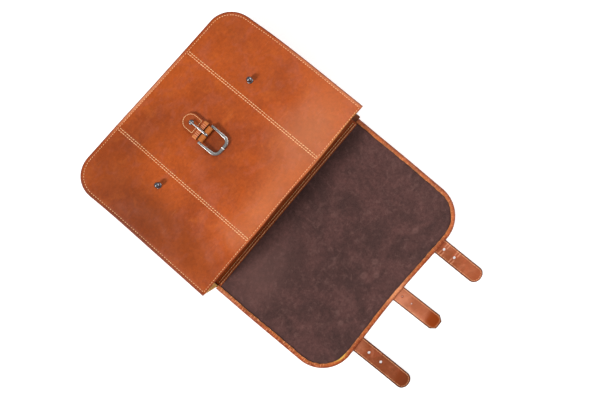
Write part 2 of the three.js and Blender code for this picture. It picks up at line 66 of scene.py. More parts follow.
MOUTH_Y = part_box("hinge_band")[1].y / MM - BAND_OVER_BACK
MOUTH = np.array([0, MOUTH_Y, 0])
QUARTER = 1.6  # length of a quarter circle over its radius, rounded up
SEAM_PLACES = np.arange(-5.6, 5.7, 0.93)  # finer places beside a double row, in mm
SEAM_CLEAR = 6.4  # mm beside a double row that hold no other places
SHARP = 50.0  # degrees past which an edge of leather keeps its crease
WHITE = (1.0, 1.0, 1.0, 1.0)


def paint(red: int, green: int, blue: int) -> Colour:
    """Linear colour of an sRGB one given from 0 to 255."""
    parts = [value / 255 for value in (red, green, blue)]
    return tuple(v / 12.92 if v <= 0.04045 else ((v + 0.055) / 1.055) ** 2.4 for v in parts)


def smoothstep(value: Array, low: float, high: float) -> Array:
    """Soft step from 0 at low to 1 at high."""
    share = np.clip((value - low) / (high - low), 0, 1)
    return share * share * (3 - 2 * share)


def bell(distance: Array, spread: float) -> Array:
    """Bell curve of height 1 at distance 0."""
    return np.exp(-0.5 * (distance / spread) ** 2)


def ripple(x: Array, y: Array, seed: int, waves: Waves) -> Array:
    """Gentle uneven swell of a soft surface.

    Args:
        x: Positions across.
        y: Positions along.
        seed: Seed of the random directions.
        waves: Pairs of wavelength and height.

    Returns:
        Heights in mm, one for each position.
    """
    rng = np.random.default_rng(seed)
    total = np.zeros(np.broadcast(x, y).shape)
    for wavelength, height in waves:
        for _ in range(4):
            turn, phase = rng.uniform(0, 2 * math.pi, 2)
            pitch = 2 * math.pi / (wavelength * rng.uniform(0.8, 1.25))
            total += height / 2 * np.sin(pitch * (x * math.cos(turn) + y * math.sin(turn)) + phase)
    return total


def mound(x: Array, y: Array, middle: tuple[float, float], reach: float) -> Array:
    """Round mound of height 1 that fades out within its reach."""
    return np.exp(-2 * ((x - middle[0]) ** 2 + (y - middle[1]) ** 2) / reach**2)


def run_along(line: Array) -> Array:
    """Distance along a line to each of its points, measured in its first two columns."""
    return np.concatenate([[0], np.cumsum(np.hypot(*np.diff(line[:, :2], axis=0).T))])


def sample(line: Array, run: Array, at: Array) -> Array:
    """Points of a line at given distances along it, a row for each."""
    return np.stack([np.interp(at, run, column) for column in line.T], axis=1)


def level(x: Array, y: Array, z: float) -> Array:
    """Points at one height, a row for each place."""
    return np.stack([x, y, np.full(len(x), z)], 1)


def upward(count: int) -> Array:
    """Directions straight up, a row for each."""
    return np.tile([0.0, 0.0, 1.0], (count, 1))


def mirrored(rows: Rows) -> Rows:
    """The same rows of an outline on the other side of X, in reverse order."""
    return [(-x, y, -out_x, out_y) for x, y, out_x, out_y in reversed(rows)]


def soften(line: Array, step: float, reach: float) -> Array:
    """Resamples a broken line at even steps and rounds its corners.

    Args:
        line: Corner points, one row each.
        step: Distance between the new points, measured in the first two columns.
        reach: Length over which corners are rounded.

    Returns:
        The new points, with the same columns and the same two ends.
    """
    run = run_along(line)
    count = max(int(run[-1] / step), 4)
    at = np.linspace(0, run[-1], count + 1)
    half = max(int(reach / (run[-1] / count) / 2), 1)
    even = sample(line, run, at)
    padded = np.concatenate(
        [2 * even[0] - even[half:0:-1], even, 2 * even[-1] - even[-2 : -half - 2 : -1]]
    )
    window = np.ones(2 * half + 1) / (2 * half + 1)
    return np.stack([np.convolve(column, window, "valid") for column in padded.T], axis=1)


class Side(Enum):
    """The two sides of the bag, by the sign of X."""

    LEFT = -1
    RIGHT = 1


class Joint(Enum):
    """How one piece is worked into another, by Blender's name."""

    WELD = "UNION"
    CUT = "DIFFERENCE"


def deselect() -> None:
    """Leaves edit mode and deselects everything."""
    if bpy.context.object and bpy.context.object.mode != "OBJECT":
        bpy.ops.object.mode_set(mode="OBJECT")
    bpy.ops.object.select_all(action="DESELECT")


def pick(piece: Piece) -> None:
    """Makes one piece the selected and active one.

    Args:
        piece: The piece.
    """
    deselect()
    piece.select_set(True)
    bpy.context.view_layer.objects.active = piece


def bake(piece: Piece) -> None:
    """Applies every modifier of a piece, in order.

    Args:
        piece: The piece.
    """
    pick(piece)
    for modifier in list(piece.modifiers):
        bpy.ops.object.modifier_apply(modifier=modifier.name)


def edit_all() -> None:
    """Enters edit mode on the active piece with all of it selected."""
    bpy.ops.object.mode_set(mode="EDIT")
    bpy.ops.mesh.select_all(action="SELECT")


def edit_faces(piece: Piece, chosen: Callable[[bpy.types.MeshPolygon], bool]) -> None:
    """Enters edit mode with only some faces selected.

    Args:
        piece: The active piece.
        chosen: Says of a face whether it is selected.
    """
    bpy.ops.object.mode_set(mode="EDIT")
    bpy.ops.mesh.select_mode(type="FACE")
    bpy.ops.mesh.select_all(action="DESELECT")
    leave_edit()
    for face in piece.data.polygons:
        face.select = chosen(face)
    bpy.ops.object.mode_set(mode="EDIT")


def leave_edit() -> None:
    """Leaves edit mode."""
    bpy.ops.object.mode_set(mode="OBJECT")


def apply_place() -> None:
    """Moves the active piece's place, turn and scale into its mesh."""
    bpy.ops.object.transform_apply(location=True, rotation=True, scale=True)


def ease_edges(piece: Piece, width: float, degrees: float, segments: int) -> None:
    """Rounds the sharp edges of a piece and applies all its modifiers.

    Args:
        piece: The piece.
        width: Width of the rounding.
        degrees: Edges sharper than this are rounded.
        segments: Steps of the rounding.
    """
    bevel = piece.modifiers.new("ease", "BEVEL")
    bevel.limit_method = "ANGLE"
    bevel.angle_limit = math.radians(degrees)
    bevel.width = width * MM
    bevel.segments = segments
    bake(piece)


def set_place(piece: Piece, place: Matrix) -> None:
    """Puts a piece in its place and moves that place into its mesh.

    Args:
        piece: The piece, in its own frame.
        place: Where that frame is, in metres.
    """
    pick(piece)
    piece.matrix_world = place @ piece.matrix_world
    apply_place()


def unite(piece: Piece, other: Piece, joint: Joint = Joint.WELD) -> None:
    """Joins a second piece to the first, or cuts it away, and keeps the first one's notes.

    Args:
        piece: The piece that stays.
        other: The piece that is joined or cut away.
        joint: How they are worked into one.
    """
    before = np.array([v.co for v in piece.data.vertices])
    notes = {
        layer.name: np.array([item.value for item in layer.data])
        for layer in piece.data.attributes
        if layer.data_type == "FLOAT" and layer.domain == "POINT"
    }
    modifier = piece.modifiers.new("joint", "BOOLEAN")
    modifier.operation = joint.value
    modifier.object = other
    modifier.solver = "EXACT"
    bake(piece)
    bpy.data.objects.remove(other, do_unlink=True)
    tree = KDTree(len(before))
    for index, point in enumerate(before):
        tree.insert(point, index)
    tree.balance()
    nearest = [tree.find(v.co)[1] for v in piece.data.vertices]
    for name, values in notes.items():
        layers = piece.data.attributes
        layer = layers.get(name) or layers.new(name, "FLOAT", "POINT")
        layer.data.foreach_set("value", values[nearest].astype(np.float32))


def press_flat(piece: Piece) -> None:
    """Presses flat on the floor what would lie under it.

    Args:
        piece: The piece that lies on the floor.
    """
    points = np.array([v.co for v in piece.data.vertices], np.float32)
    points[:, 2] = np.maximum(points[:, 2], 0)
    piece.data.vertices.foreach_set("co", points.reshape(-1))
    piece.data.update()


def polish(piece: Piece, degrees: float = 40.0) -> None:
    """Smooths the shading except at sharp edges."""
    pick(piece)
    bpy.ops.object.shade_smooth_by_angle(angle=math.radians(degrees))


def dress(piece: Piece, materials: list[Material]) -> None:
    """Gives a piece its materials.

    Args:
        piece: The piece.
        materials: Its materials, in the order of its slots.
    """
    piece.data.materials.clear()
    for material in materials:
        piece.data.materials.append(material)


def hand_over(piece: Piece, slot: str | None = None, *nodes: str, body: str = "bag") -> None:
    """Hangs a finished piece on the empty of the body that it moves with and hides the solids that it takes
    the place of.

    Args:
        piece: The finished piece.
        slot: The material slot of the record, or None for thread. Not used.
        nodes: The solids that it takes the place of.
        body: The body that it moves with.
    """
    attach(piece, body)
    if nodes:
        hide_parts(*nodes)
    LOG.info("%s: %d faces, rides on %s", piece.name, len(piece.data.polygons), body)


@dataclass
class HideSheet:
    """A sheet of leather from a grid of points on its middle surface, in mm with y from the mouth."""

    name: str
    points: Array
    thickness: float
    materials: list[Material]
    notes: dict[str, Array] = field(default_factory=dict)
    rounding: float = 0.5
    flip: bool = False

    def make(self) -> Piece:
        """Cuts the sheet, shapes it, gives it thickness and rounds its edges.

        Returns:
            The finished sheet, with its place in its mesh.
        """
        rows, columns = self.points.shape[:2]
        deselect()
        bpy.ops.mesh.primitive_grid_add(x_subdivisions=columns - 1, y_subdivisions=rows - 1, size=1.0)
        piece = bpy.context.object
        piece.name = self.name
        piece.data.name = self.name
        placed = (self.points + MOUTH) * MM
        piece.data.vertices.foreach_set("co", placed.reshape(-1).astype(np.float32))
        for note, values in self.notes.items():
            layer = piece.data.attributes.new(note, "FLOAT", "POINT")
            layer.data.foreach_set("value", np.ascontiguousarray(values, np.float32).reshape(-1))
        piece.data.update()
        if self.flip:
            edit_all()
            bpy.ops.mesh.flip_normals()
            leave_edit()
        dress(piece, self.materials)
        wall = piece.modifiers.new("wall", "SOLIDIFY")
        wall.thickness = self.thickness * MM
        wall.offset = 0.0
        wall.use_even_offset = True
        wall.material_offset = 1 if len(self.materials) > 1 else 0
        wall.material_offset_rim = 2 if len(self.materials) > 2 else 0
        ease_edges(piece, self.rounding, 55.0, 2)
        polish(piece, SHARP)
        return piece


@dataclass
class Seam:
    """Rows of stitches along lines that lie on a surface, in mm with y from the mouth."""

    name: str
    material: Material
    pitch: float = 3.9
    length: float = 3.6
    gauge: float = 0.95
    slant: float = 5.0
    seed: int = 3
    blunt: float = 0.6
    rise: float = 0.18
    dive: float = 4.4
    uneven: float = 0.05
    lean_uneven: float = 2.5
    look: float = 0.8
    lines: list[tuple[Array, Array, float]] = field(default_factory=list)

    def add(self, points: Array, normals: Array, scale: float = 1.0) -> None:
        """Adds a line: its points, the surface's direction at each and its stitches' scale."""
        self.lines.append((points, normals, scale))

    def stitch(self) -> tuple[Array, Array]:
        """Models one stitch, a short thick thread whose ends dive into the leather.

        Returns:
            Its vertices in mm, along X with Z up, and its triangles.
        """
        deselect()
        bpy.ops.mesh.primitive_uv_sphere_add(segments=6, ring_count=5, radius=0.5)
        bead = bpy.context.object
        edit_all()
        bpy.ops.mesh.quads_convert_to_tris()
        leave_edit()
        points = np.array([v.co for v in bead.data.vertices])[:, [2, 0, 1]]
        faces = np.array([p.vertices[:] for p in bead.data.polygons])
        bpy.data.objects.remove(bead, do_unlink=True)
        reach = np.sign(points[:, 0]) * np.abs(2 * points[:, 0]) ** self.blunt / 2
        points[:, 1:] *= self.gauge
        points[:, 0] = reach * self.length
        points[:, 2] += self.gauge * (self.rise - self.dive * reach**4)
        return points, faces

    def make(self) -> Piece:
        """Sews the rows as one mesh.

        Returns:
            The stitches of all the lines.
        """
        shape, faces = self.stitch()
        rng = np.random.default_rng(self.seed)
        vertices, triangles, count = [], [], 0
        for points, normals, scale in self.lines:
            run = np.concatenate([[0], np.cumsum(np.linalg.norm(np.diff(points, axis=0), axis=1))])
            number = max(int(run[-1] / self.pitch), 1)
            middle = (np.arange(number) + 0.5) * run[-1] / number
            middle = middle + rng.normal(0, self.uneven * self.pitch, number)
            at = sample(points, run, middle)
            up = sample(normals, run, middle)
            ahead, behind = (sample(points, run, middle + step) for step in (self.look, -self.look))
            along = ahead - behind
            along /= np.linalg.norm(along, axis=1, keepdims=True)
            side = np.cross(up, along)
            side /= np.linalg.norm(side, axis=1, keepdims=True)
            lean = np.radians(self.slant + rng.normal(0, self.lean_uneven, number))[:, None]
            along, side = (
                along * np.cos(lean) + side * np.sin(lean),
                side * np.cos(lean) - along * np.sin(lean),
            )
            up = np.cross(along, side)
            size = scale * rng.normal(1, self.uneven, (number, 1, 1))
            cloud = (
                shape[None, :, :1] * along[:, None]
                + shape[None, :, 1:2] * side[:, None]
                + shape[None, :, 2:] * up[:, None]
            )
            vertices.append((at[:, None] + cloud * size).reshape(-1, 3))
            step = np.arange(number)[:, None, None] * len(shape) + count
            triangles.append((faces[None] + step).reshape(-1, 3))
            count += number * len(shape)
        mesh = bpy.data.meshes.new(self.name)
        placed = (np.concatenate(vertices) + MOUTH) * MM
        mesh.from_pydata(placed.tolist(), [], np.concatenate(triangles).tolist())
        piece = bpy.data.objects.new(self.name, mesh)
        bpy.context.scene.collection.objects.link(piece)
        dress(piece, [self.material])
        polish(piece, 80.0)
        return piece


class Palette:
    """Lays the nodes of one material."""

    def __init__(self, name: str) -> None:
        """Starts a material with its shader and its object coordinates.

        Args:
            name: Name of the material.
        """
        self.material = bpy.data.materials.new(name)
        self.material.use_nodes = True
        self.nodes = self.material.node_tree.nodes
        self.links = self.material.node_tree.links
        self.shader = self.nodes["Principled BSDF"]
        self.place = self.add("TexCoord").outputs["Object"]

    def put(self, socket: Socket, value: object) -> None:
        """Links a socket to a socket, or sets its own value.

        Args:
            socket: The socket.
            value: The socket that feeds it, or its value.
        """
        if isinstance(value, Socket):
            self.links.new(value, socket)
        else:
            socket.default_value = value

    def add(self, kind: str, **inputs: object) -> bpy.types.Node:
        """Adds a node and feeds its inputs.

        Args:
            kind: Blender's name of the node.
            inputs: A socket or a value for each input, with _ for a space in its name.

        Returns:
            The node.
        """
        node = self.nodes.new("ShaderNode" + kind)
        for name, value in inputs.items():
            self.put(node.inputs[name.replace("_", " ")], value)
        return node

    def stretch(self, scale: Point, turn: float = 0.0, source: Socket | None = None) -> Socket:
        """Object coordinates scaled along each axis and turned about Z.

        Args:
            scale: Factor along X, Y and Z.
            turn: Turn about Z, in radians.
            source: Coordinates to start from, or None for the object's own.

        Returns:
            The new coordinates.
        """
        node = self.add("Mapping", Scale=scale, Rotation=(0, 0, turn), Vector=source or self.place)
        return node.outputs["Vector"]

    def noise(
        self,
        scale: float,
        detail: float = 4.0,
        rough: float = 0.55,
        bend: float = 0.0,
        source: Socket | None = None,
    ) -> Socket:
        """Cloudy noise.

        Args:
            scale: Cells in a metre.
            detail: Number of finer layers.
            rough: Weight of the finer layers.
            bend: Distortion.
            source: Coordinates, or None for the object's own.

        Returns:
            The noise, from 0 to 1.
        """
        node = self.add("TexNoise", Scale=scale, Detail=detail, Roughness=rough, Distortion=bend)
        self.put(node.inputs["Vector"], source or self.place)
        return node.outputs["Fac"]

    def cells(self, scale: float, feature: str = "F1", source: Socket | None = None) -> Socket:
        """Distance in a field of cells, for pores and pebbled grain.

        Args:
            scale: Cells in a metre.
            feature: Blender's name of the distance.
            source: Coordinates, or None for the object's own.

        Returns:
            The distance.
        """
        node = self.add("TexVoronoi", Scale=scale, Vector=source or self.place)
        node.feature = feature
        return node.outputs["Distance"]

    def note(self, name: str) -> Socket:
        """A value that the mesh carries at its points.

        Args:
            name: Name of the value.

        Returns:
            The value.
        """
        node = self.add("Attribute")
        node.attribute_name = name
        return node.outputs["Fac"]

    def span(self, value: Socket, low: float, high: float, start: float = 0.0, end: float = 1.0) -> Socket:
        """Maps a range of a value to another, clamped.

        Args:
            value: The value.
            low: Where the result is start.
            high: Where the result is end.
            start: Result at low.
            end: Result at high.

        Returns:
            The mapped value.
        """
        node = self.add("MapRange", Value=value, From_Min=low, From_Max=high, To_Min=start, To_Max=end)
        node.interpolation_type = "SMOOTHSTEP"
        return node.outputs["Result"]

    def sum(self, first: object, second: object, operation: str = "ADD") -> Socket:
        """Adds two values, or combines them by another named operation.

        Args:
            first: Socket or number.
            second: Socket or number.
            operation: Blender's name of the operation.

        Returns:
            The result.
        """
        node = self.add("Math")
        node.operation = operation
        self.put(node.inputs[0], first)
        self.put(node.inputs[1], second)
        return node.outputs[0]

    def times(self, first: object, second: object) -> Socket:
        """Multiplies two values."""
        return self.sum(first, second, "MULTIPLY")

    def blend(self, share: object, first: object, second: object, mode: str = "MIX") -> Socket:
        """Mixes two colours.

        Args:
            share: How much of the second, as a socket or number.
            first: Colour or socket.
            second: Colour or socket.
            mode: Blender's name of the mix.

        Returns:
            The mixed colour.
        """
        node = self.add("Mix")
        node.data_type = "RGBA"
        node.blend_type = mode
        self.put(node.inputs[0], share)
        for socket, value in ((node.inputs[6], first), (node.inputs[7], second)):
            self.put(socket, (*value, 1.0) if isinstance(value, tuple) else value)
        return node.outputs[2]

    def tint(self, colour: object, factor: object) -> Socket:
        """Multiplies a colour by another, or by a value."""
        return self.blend(1.0, colour, factor, "MULTIPLY")

    def veil(
        self, value: Socket, low: float, high: float, share: float, first: object, second: object
    ) -> Socket:
        """Lays a second colour over a first, from none of it at low to its share at high."""
        return self.blend(self.span(value, low, high, 0.0, share), first, second)

    def relief(
        self, height: Socket, depth: float, strength: float = 1.0, under: Socket | None = None
    ) -> Socket:
        """Turns heights into a bumpy surface.

        Args:
            height: Heights from 0 to 1.
            depth: Depth of a height of 1.
            strength: Strength of the effect.
            under: A relief that this one lies on.

        Returns:
            The surface direction.
        """
        node = self.add("Bump", Distance=depth * MM, Strength=strength, Height=height)
        if under:
            self.links.new(under, node.inputs["Normal"])
        return node.outputs["Normal"]

    def finish(
        self, colour: object, rough: object, relief: Socket | None, **plain: float
    ) -> Material:
        """Joins the nodes to the shader.

        Args:
            colour: Base colour.
            rough: Roughness or socket.
            relief: Surface direction, or None.
            plain: Further shader inputs with one value all over.

        Returns:
            The material.
        """
        self.put(self.shader.inputs["Base Color"], colour)
        self.put(self.shader.inputs["Roughness"], rough)
        if relief:
            self.links.new(relief, self.shader.inputs["Normal"])
        for key, value in plain.items():
            self.shader.inputs[key.replace("_", " ")].default_value = value
        return self.material


@dataclass(frozen=True)
class HideFinish:
    """Polished hide: mottled dye, pores, fine creases, scuffs and darker edges."""

    name: str
    base: Colour
    dark: Colour
    light: Colour
    edge: Colour
    pale: Colour
    oil_and_sheen: Colour = (0.0, 0.0, 0.0)
    rose: Colour = paint(174, 86, 56)
    bead: float = 0.0
    edge_reach: float = 2.6
    fray: float = 2.2
    rough: float = 0.5
    grain: float = 0.09
    mottle: float = 1.0
    fleck: float = 0.16
    gloss: float = 0.16
    seed: float = 0.0

    def make(self) -> Material:
        """Builds the material.

        Returns:
            The hide's material.
        """
        board = Palette(self.name)
        turned = board.stretch((1, 1, 1), 0.4 + self.seed)
        broad = board.noise(11, 3, 0.5, 0.6, turned)
        cloud = board.noise(38, 5, 0.6, 0.8, turned)
        fibre = board.noise(60, 6, 0.65, 0.3, board.stretch((1.0, 4.0, 1.0), 0.7 + self.seed))
        speck = board.noise(420, 3, 0.7)
        colour = board.veil(broad, 0.38, 0.68, 0.5 * self.mottle, self.base, self.dark)
        colour = board.veil(cloud, 0.5, 0.78, 0.5 * self.mottle, colour, self.light)
        colour = board.veil(fibre, 0.52, 0.8, 0.4 * self.mottle, colour, self.dark)
        colour = board.veil(speck, 0.35, 0.75, 0.16, colour, self.dark)
        flush = board.noise(30, 4, 0.6, 0.6, board.stretch((1, 1.5, 1), 2.0 + self.seed))
        colour = board.veil(flush, 0.48, 0.66, 0.4, colour, self.rose)
        scratch = board.noise(9, 2, 0.5, 0.2, board.stretch((3.0, 90.0, 1.0), 1.1 + self.seed))
        patchy = board.times(board.span(scratch, 0.66, 0.74), board.span(cloud, 0.45, 0.7))
        colour = board.blend(board.times(patchy, 0.45), colour, self.light)
        hairline = board.noise(11, 2, 0.5, 0.15, board.stretch((4.0, 110.0, 1.0), 2.5 + self.seed))
        colour = board.veil(hairline, 0.68, 0.76, 0.2, colour, self.pale)
        fine = board.noise(210, 5, 0.75, 0.3)
        flecks = board.span(fine, 0.25, 0.75, 1 - self.fleck, 1 + self.fleck)
        colour = board.tint(colour, flecks)
        border = board.sum(board.note("edge"), board.times(board.noise(160, 4), self.fray))
        # The tone note darkens the colour below 0 and blends it towards pale above 0; the pieces carry dye
        # patches in it and also painted sheen, highlights and shade. The next note blends towards the oil
        # colour: a real oiled end on the straps, painted sheen on the chape's fold over the bar.
        tone = board.note("tone")
        colour = board.blend(board.note("oil_and_sheen"), colour, self.oil_and_sheen)
        colour = board.tint(colour, board.sum(board.sum(tone, 0.0, "MINIMUM"), 1.0))
        colour = board.blend(board.sum(tone, 0.0, "MAXIMUM"), colour, self.pale)
        worn = board.span(border, self.edge_reach + 0.9 * self.fray, self.edge_reach * 0.5, 0.0, 0.85)
        colour = board.blend(worn, colour, self.edge)
        if self.bead:
            inside = board.note("edge")
            line = board.times(board.span(inside, 2.1, 2.7), board.span(inside, 3.8, 3.1))
            colour = board.blend(board.times(line, self.bead), colour, self.pale)
        pores = board.span(board.cells(900), 0.0, 0.6)
        crease = board.span(board.cells(260, "DISTANCE_TO_EDGE", board.stretch((1, 1.7, 1), 0.9)), 0.0, 0.12)
        height = board.sum(pores, board.times(crease, 0.6))
        height = board.sum(height, board.times(board.noise(1700, 2), 0.5))
        relief = board.relief(height, self.grain, 0.55)
        relief = board.relief(board.noise(75, 4, 0.6), 0.5, 0.35, relief)
        rough = board.span(cloud, 0.3, 0.75, self.rough - 0.07, self.rough + 0.1)
        return board.finish(colour, rough, relief, Specular_IOR_Level=self.gloss)


@dataclass(frozen=True)
class FleshFinish:
    """Unpolished inner side of the hide: dull, fibrous and paler."""

    name: str
    base: Colour
    dark: Colour

    def make(self) -> Material:
        """Builds the material.

        Returns:
            The inner side's material.
        """
        board = Palette(self.name)
        cloud = board.noise(30, 5, 0.6, 0.5)
        fuzz = board.noise(900, 4, 0.7)
        colour = board.veil(cloud, 0.35, 0.7, 0.8, self.base, self.dark)
        colour = board.veil(fuzz, 0.3, 0.8, 0.35, colour, self.dark)
        relief = board.relief(fuzz, 0.25, 0.6)
        return board.finish(colour, 0.85, relief, Specular_IOR_Level=0.2, Sheen_Weight=0.2)


@dataclass(frozen=True)
class SuedeFinish:
    """Brushed dark suede: nap in patches, scuffs, pressed round marks."""

    name: str
    base: Colour
    dark: Colour
    scuff: Colour

    def make(self) -> Material:
        """Builds the material.

        Returns:
            The suede's material.
        """
        board = Palette(self.name)
        cloud = board.noise(17, 5, 0.62, 0.9)
        brushed = board.noise(45, 5, 0.65, 0.5, board.stretch((1.0, 1.4, 1.0), 0.5))
        blotch = board.noise(120, 4, 0.6, 0.6)
        nap = board.noise(1500, 3, 0.75)
        grit = board.noise(330, 4, 0.7)
        flecks = board.span(board.noise(190, 4, 0.7), 0.25, 0.75, 0.66, 1.34)
        colour = board.blend(board.span(cloud, 0.36, 0.66), self.dark, self.base)
        colour = board.tint(colour, flecks)
        colour = board.veil(brushed, 0.5, 0.8, 0.42, colour, self.scuff)
        colour = board.veil(blotch, 0.54, 0.72, 0.36, colour, self.scuff)
        colour = board.veil(blotch, 0.46, 0.3, 0.55, colour, self.dark)
        streak = board.noise(12, 3, 0.6, 0.4, board.stretch((2.0, 26.0, 1.0), 0.15))
        colour = board.veil(streak, 0.6, 0.75, 0.16, colour, self.scuff)
        colour = board.veil(grit, 0.4, 0.75, 0.42, colour, self.dark)
        colour = board.veil(nap, 0.35, 0.8, 0.42, colour, self.scuff)
        colour = board.blend(board.times(board.note("mark"), 0.5), colour, self.scuff)
        height = board.sum(nap, board.times(grit, 0.8))
        relief = board.relief(height, 0.35, 0.7)
        return board.finish(
            colour, 0.95, relief, Specular_IOR_Level=0.1, Sheen_Weight=0.12, Sheen_Roughness=0.6
        )


@dataclass(frozen=True)
class RolledFinish:
    """Thin leather rolled round an edge: glossy, with cross wrinkles and a pale raw border; painted
    highlights, painted shade on its outer side, and wrinkle folds painted darker with their ridges lighter.
    """

    name: str
    base: Colour
    dark: Colour
    light: Colour
    raw: Colour

    def make(self) -> Material:
        """Builds the material.

        Returns:
            The rolled leather's material.
        """
        board = Palette(self.name)
        run = self.nodes_along(board)
        wrinkle = board.noise(520, 2, 0.5, 0.2, run)
        drawn = board.span(board.note("smooth"), 0.0, 1.0, 0.8, 0.4)
        cloud = board.noise(28, 4, 0.6, 0.4)
        colour = board.veil(cloud, 0.35, 0.7, 0.9, self.base, self.dark)
        # Painted shade in the wrinkles' folds and painted highlight on their ridges.
        fold = board.times(board.span(wrinkle, 0.4, 0.52, 1.0, 0.0), drawn)
        ridge = board.times(board.span(wrinkle, 0.52, 0.66), drawn)
        colour = board.blend(fold, colour, self.dark)
        colour = board.blend(ridge, colour, self.light)
        # Painted highlights, then painted shade on the roll's outer side, then the raw border.
        colour = board.blend(board.note("painted_highlight"), colour, self.light)
        colour = board.blend(board.note("rim"), colour, self.dark)
        colour = board.blend(board.note("raw"), colour, self.raw)
        relief = board.relief(board.times(wrinkle, drawn), 1.0, 0.8)
        relief = board.relief(board.cells(1100), 0.06, 0.4, relief)
        return board.finish(colour, board.span(cloud, 0.3, 0.7, 0.42, 0.55), relief, Specular_IOR_Level=0.14)

    @staticmethod
    def nodes_along(board: Palette) -> Socket:
        """Coordinates that follow the roll: its run, and little of its girth."""
        girth = board.times(board.note("girth"), 0.25)
        return board.add("CombineXYZ", X=board.note("run"), Y=girth).outputs[0]


@dataclass(frozen=True)
class MetalFinish:
    """Plated metal with fine scratches and dull patches."""

    name: str
    base: Colour
    dull: Colour
    rough: float

    def make(self) -> Material:
        """Builds the material.

        Returns:
            The metal's material.
        """
        board = Palette(self.name)
        patch = board.noise(180, 4, 0.6)
        hair = board.noise(240, 3, 0.6, 0.0, board.stretch((1.0, 14.0, 3.0), 0.6))
        colour = board.veil(patch, 0.45, 0.75, 0.7, self.base, self.dull)
        rough = board.sum(
            board.span(patch, 0.35, 0.75, self.rough, self.rough + 0.16),
            board.span(hair, 0.55, 0.75, 0.0, 0.1),
        )
        return board.finish(colour, rough, board.relief(hair, 0.02, 0.3), Metallic=1.0)


@dataclass(frozen=True)
class ThreadFinish:
    """Waxed cream thread."""

    name: str
    base: Colour
    soiled: Colour

    def make(self) -> Material:
        """Builds the material.

        Returns:
            The thread's material.
        """
        board = Palette(self.name)
        dirt = board.noise(70, 4, 0.6)
        twist = board.noise(2600, 2, 0.5)
        colour = board.veil(dirt, 0.4, 0.75, 0.8, self.base, self.soiled)
        return board.finish(colour, 0.6, board.relief(twist, 0.15, 0.5), Specular_IOR_Level=0.3)


def maker(finish: object) -> object:
    """Field whose value is the material that a finish makes."""
    return field(default_factory=finish.make)


@dataclass
class Finishes:
    """Every finish of the bag, made once."""

    hide: Material = maker(HideFinish(
        "tan_hide", base=paint(177, 79, 23), dark=paint(136, 54, 19), light=paint(197, 97, 34),
        edge=paint(116, 50, 26), pale=paint(234, 160, 116), oil_and_sheen=paint(206, 132, 46),
    ))
    strap: Material = maker(HideFinish(
        "strap_hide", base=paint(160, 85, 53), dark=paint(120, 57, 28), light=paint(190, 114, 82),
        edge=paint(52, 24, 16), pale=paint(234, 164, 130), oil_and_sheen=paint(132, 52, 5), bead=0.15,
        edge_reach=2.0, fray=0.5, rough=0.46, mottle=1.3, gloss=0.1, seed=1.3,
    ))
    edge: Material = maker(HideFinish(
        "burnished_edge", base=paint(112, 50, 26), dark=paint(82, 36, 20), light=paint(150, 76, 42),
        edge=paint(96, 42, 24), pale=paint(170, 100, 60), edge_reach=0.1, mottle=0.8, seed=2.1,
    ))
    # Ochre flesh side of the gusset, made paler than the leather's own ochre so that its shaded inner face
    # looks lit: real ochre with painted light.
    flesh: Material = maker(FleshFinish("ochre_flesh_painted_light", paint(255, 200, 104), paint(232, 160, 72)))
    # Flesh side of the panels, straps and tabs, coloured as the ochre flesh side looks in shade: painted
    # shade.
    inside: Material = maker(FleshFinish("flesh_side_painted_shade", paint(128, 66, 32), paint(98, 48, 24)))
    suede: Material = maker(SuedeFinish(
        "dark_suede", paint(80, 49, 46), paint(54, 32, 30), paint(116, 82, 76)
    ))
    rolled: Material = maker(RolledFinish(
        "rolled_edge", paint(184, 87, 34), paint(118, 49, 20), paint(240, 160, 114), paint(224, 176, 80)
    ))
    thread: Material = maker(ThreadFinish("cream_thread", paint(255, 204, 150), paint(234, 166, 112)))
    nickel: Material = maker(MetalFinish("nickel_plate", (0.3, 0.288, 0.28), (0.2, 0.186, 0.18), 0.28))
    gunmetal: Material = maker(MetalFinish("gunmetal_plate", (0.13, 0.135, 0.15), (0.08, 0.08, 0.085), 0.24))

    @property
    def grain_up(self) -> list[Material]:
        """Materials of a sheet with its polished side up: upper side, under side and cut edge."""
        return [self.hide, self.inside, self.edge]

    @property
    def grain_down(self) -> list[Material]:
        """Materials of a sheet with its polished side down, in the same order."""
        return [self.inside, self.hide, self.edge]


def stations(bend: float, corner: float, inset: float, start: float, pitch: float) -> Rows:
    """Rows of a panel with two round corners.

    Args:
        bend: Where the corners begin.
        corner: Radius of the corners.
        inset: Distance inside the outline.
        start: Where the panel begins.
        pitch: Distance between rows.

    Returns:
        Pairs of distance along the panel and of what the corner takes off each half width.
    """
    count = int((bend - start) / pitch)
    rows = [(start + (bend - start) * k / count, inset) for k in range(count)]
    radius = corner - inset
    turns = int(radius * QUARTER / pitch)
    for k in range(turns + 1):
        angle = math.pi / 2 * k / turns
        rows.append((bend + radius * math.sin(angle), corner - radius * math.cos(angle)))
    return rows


def columns(half: float, pitch: float, extra: list[float]) -> Array:
    """Places across a panel, closer at its edges and round the lines given.

    Args:
        half: Half width of the panel.
        pitch: Distance between places.
        extra: Lines that get finer places beside them.

    Returns:
        Places from -half to half, in mm.
    """
    count = int(2 * half / pitch)
    even = np.linspace(-1, 1, count + 1)
    base = list(half * (even + 0.3 * np.sin(math.pi * even) / math.pi))
    fine = [line + shift for line in extra for shift in SEAM_PLACES]
    kept = [x for x in base if all(abs(x - line) > SEAM_CLEAR for line in extra)]
    return np.array(sorted(kept + fine))


@dataclass(frozen=True)
class GussetEnd:
    """Shape of one end of the gusset at the mouth, in mm."""

    rake: float
    top: float
    foot: float
    bulge: float


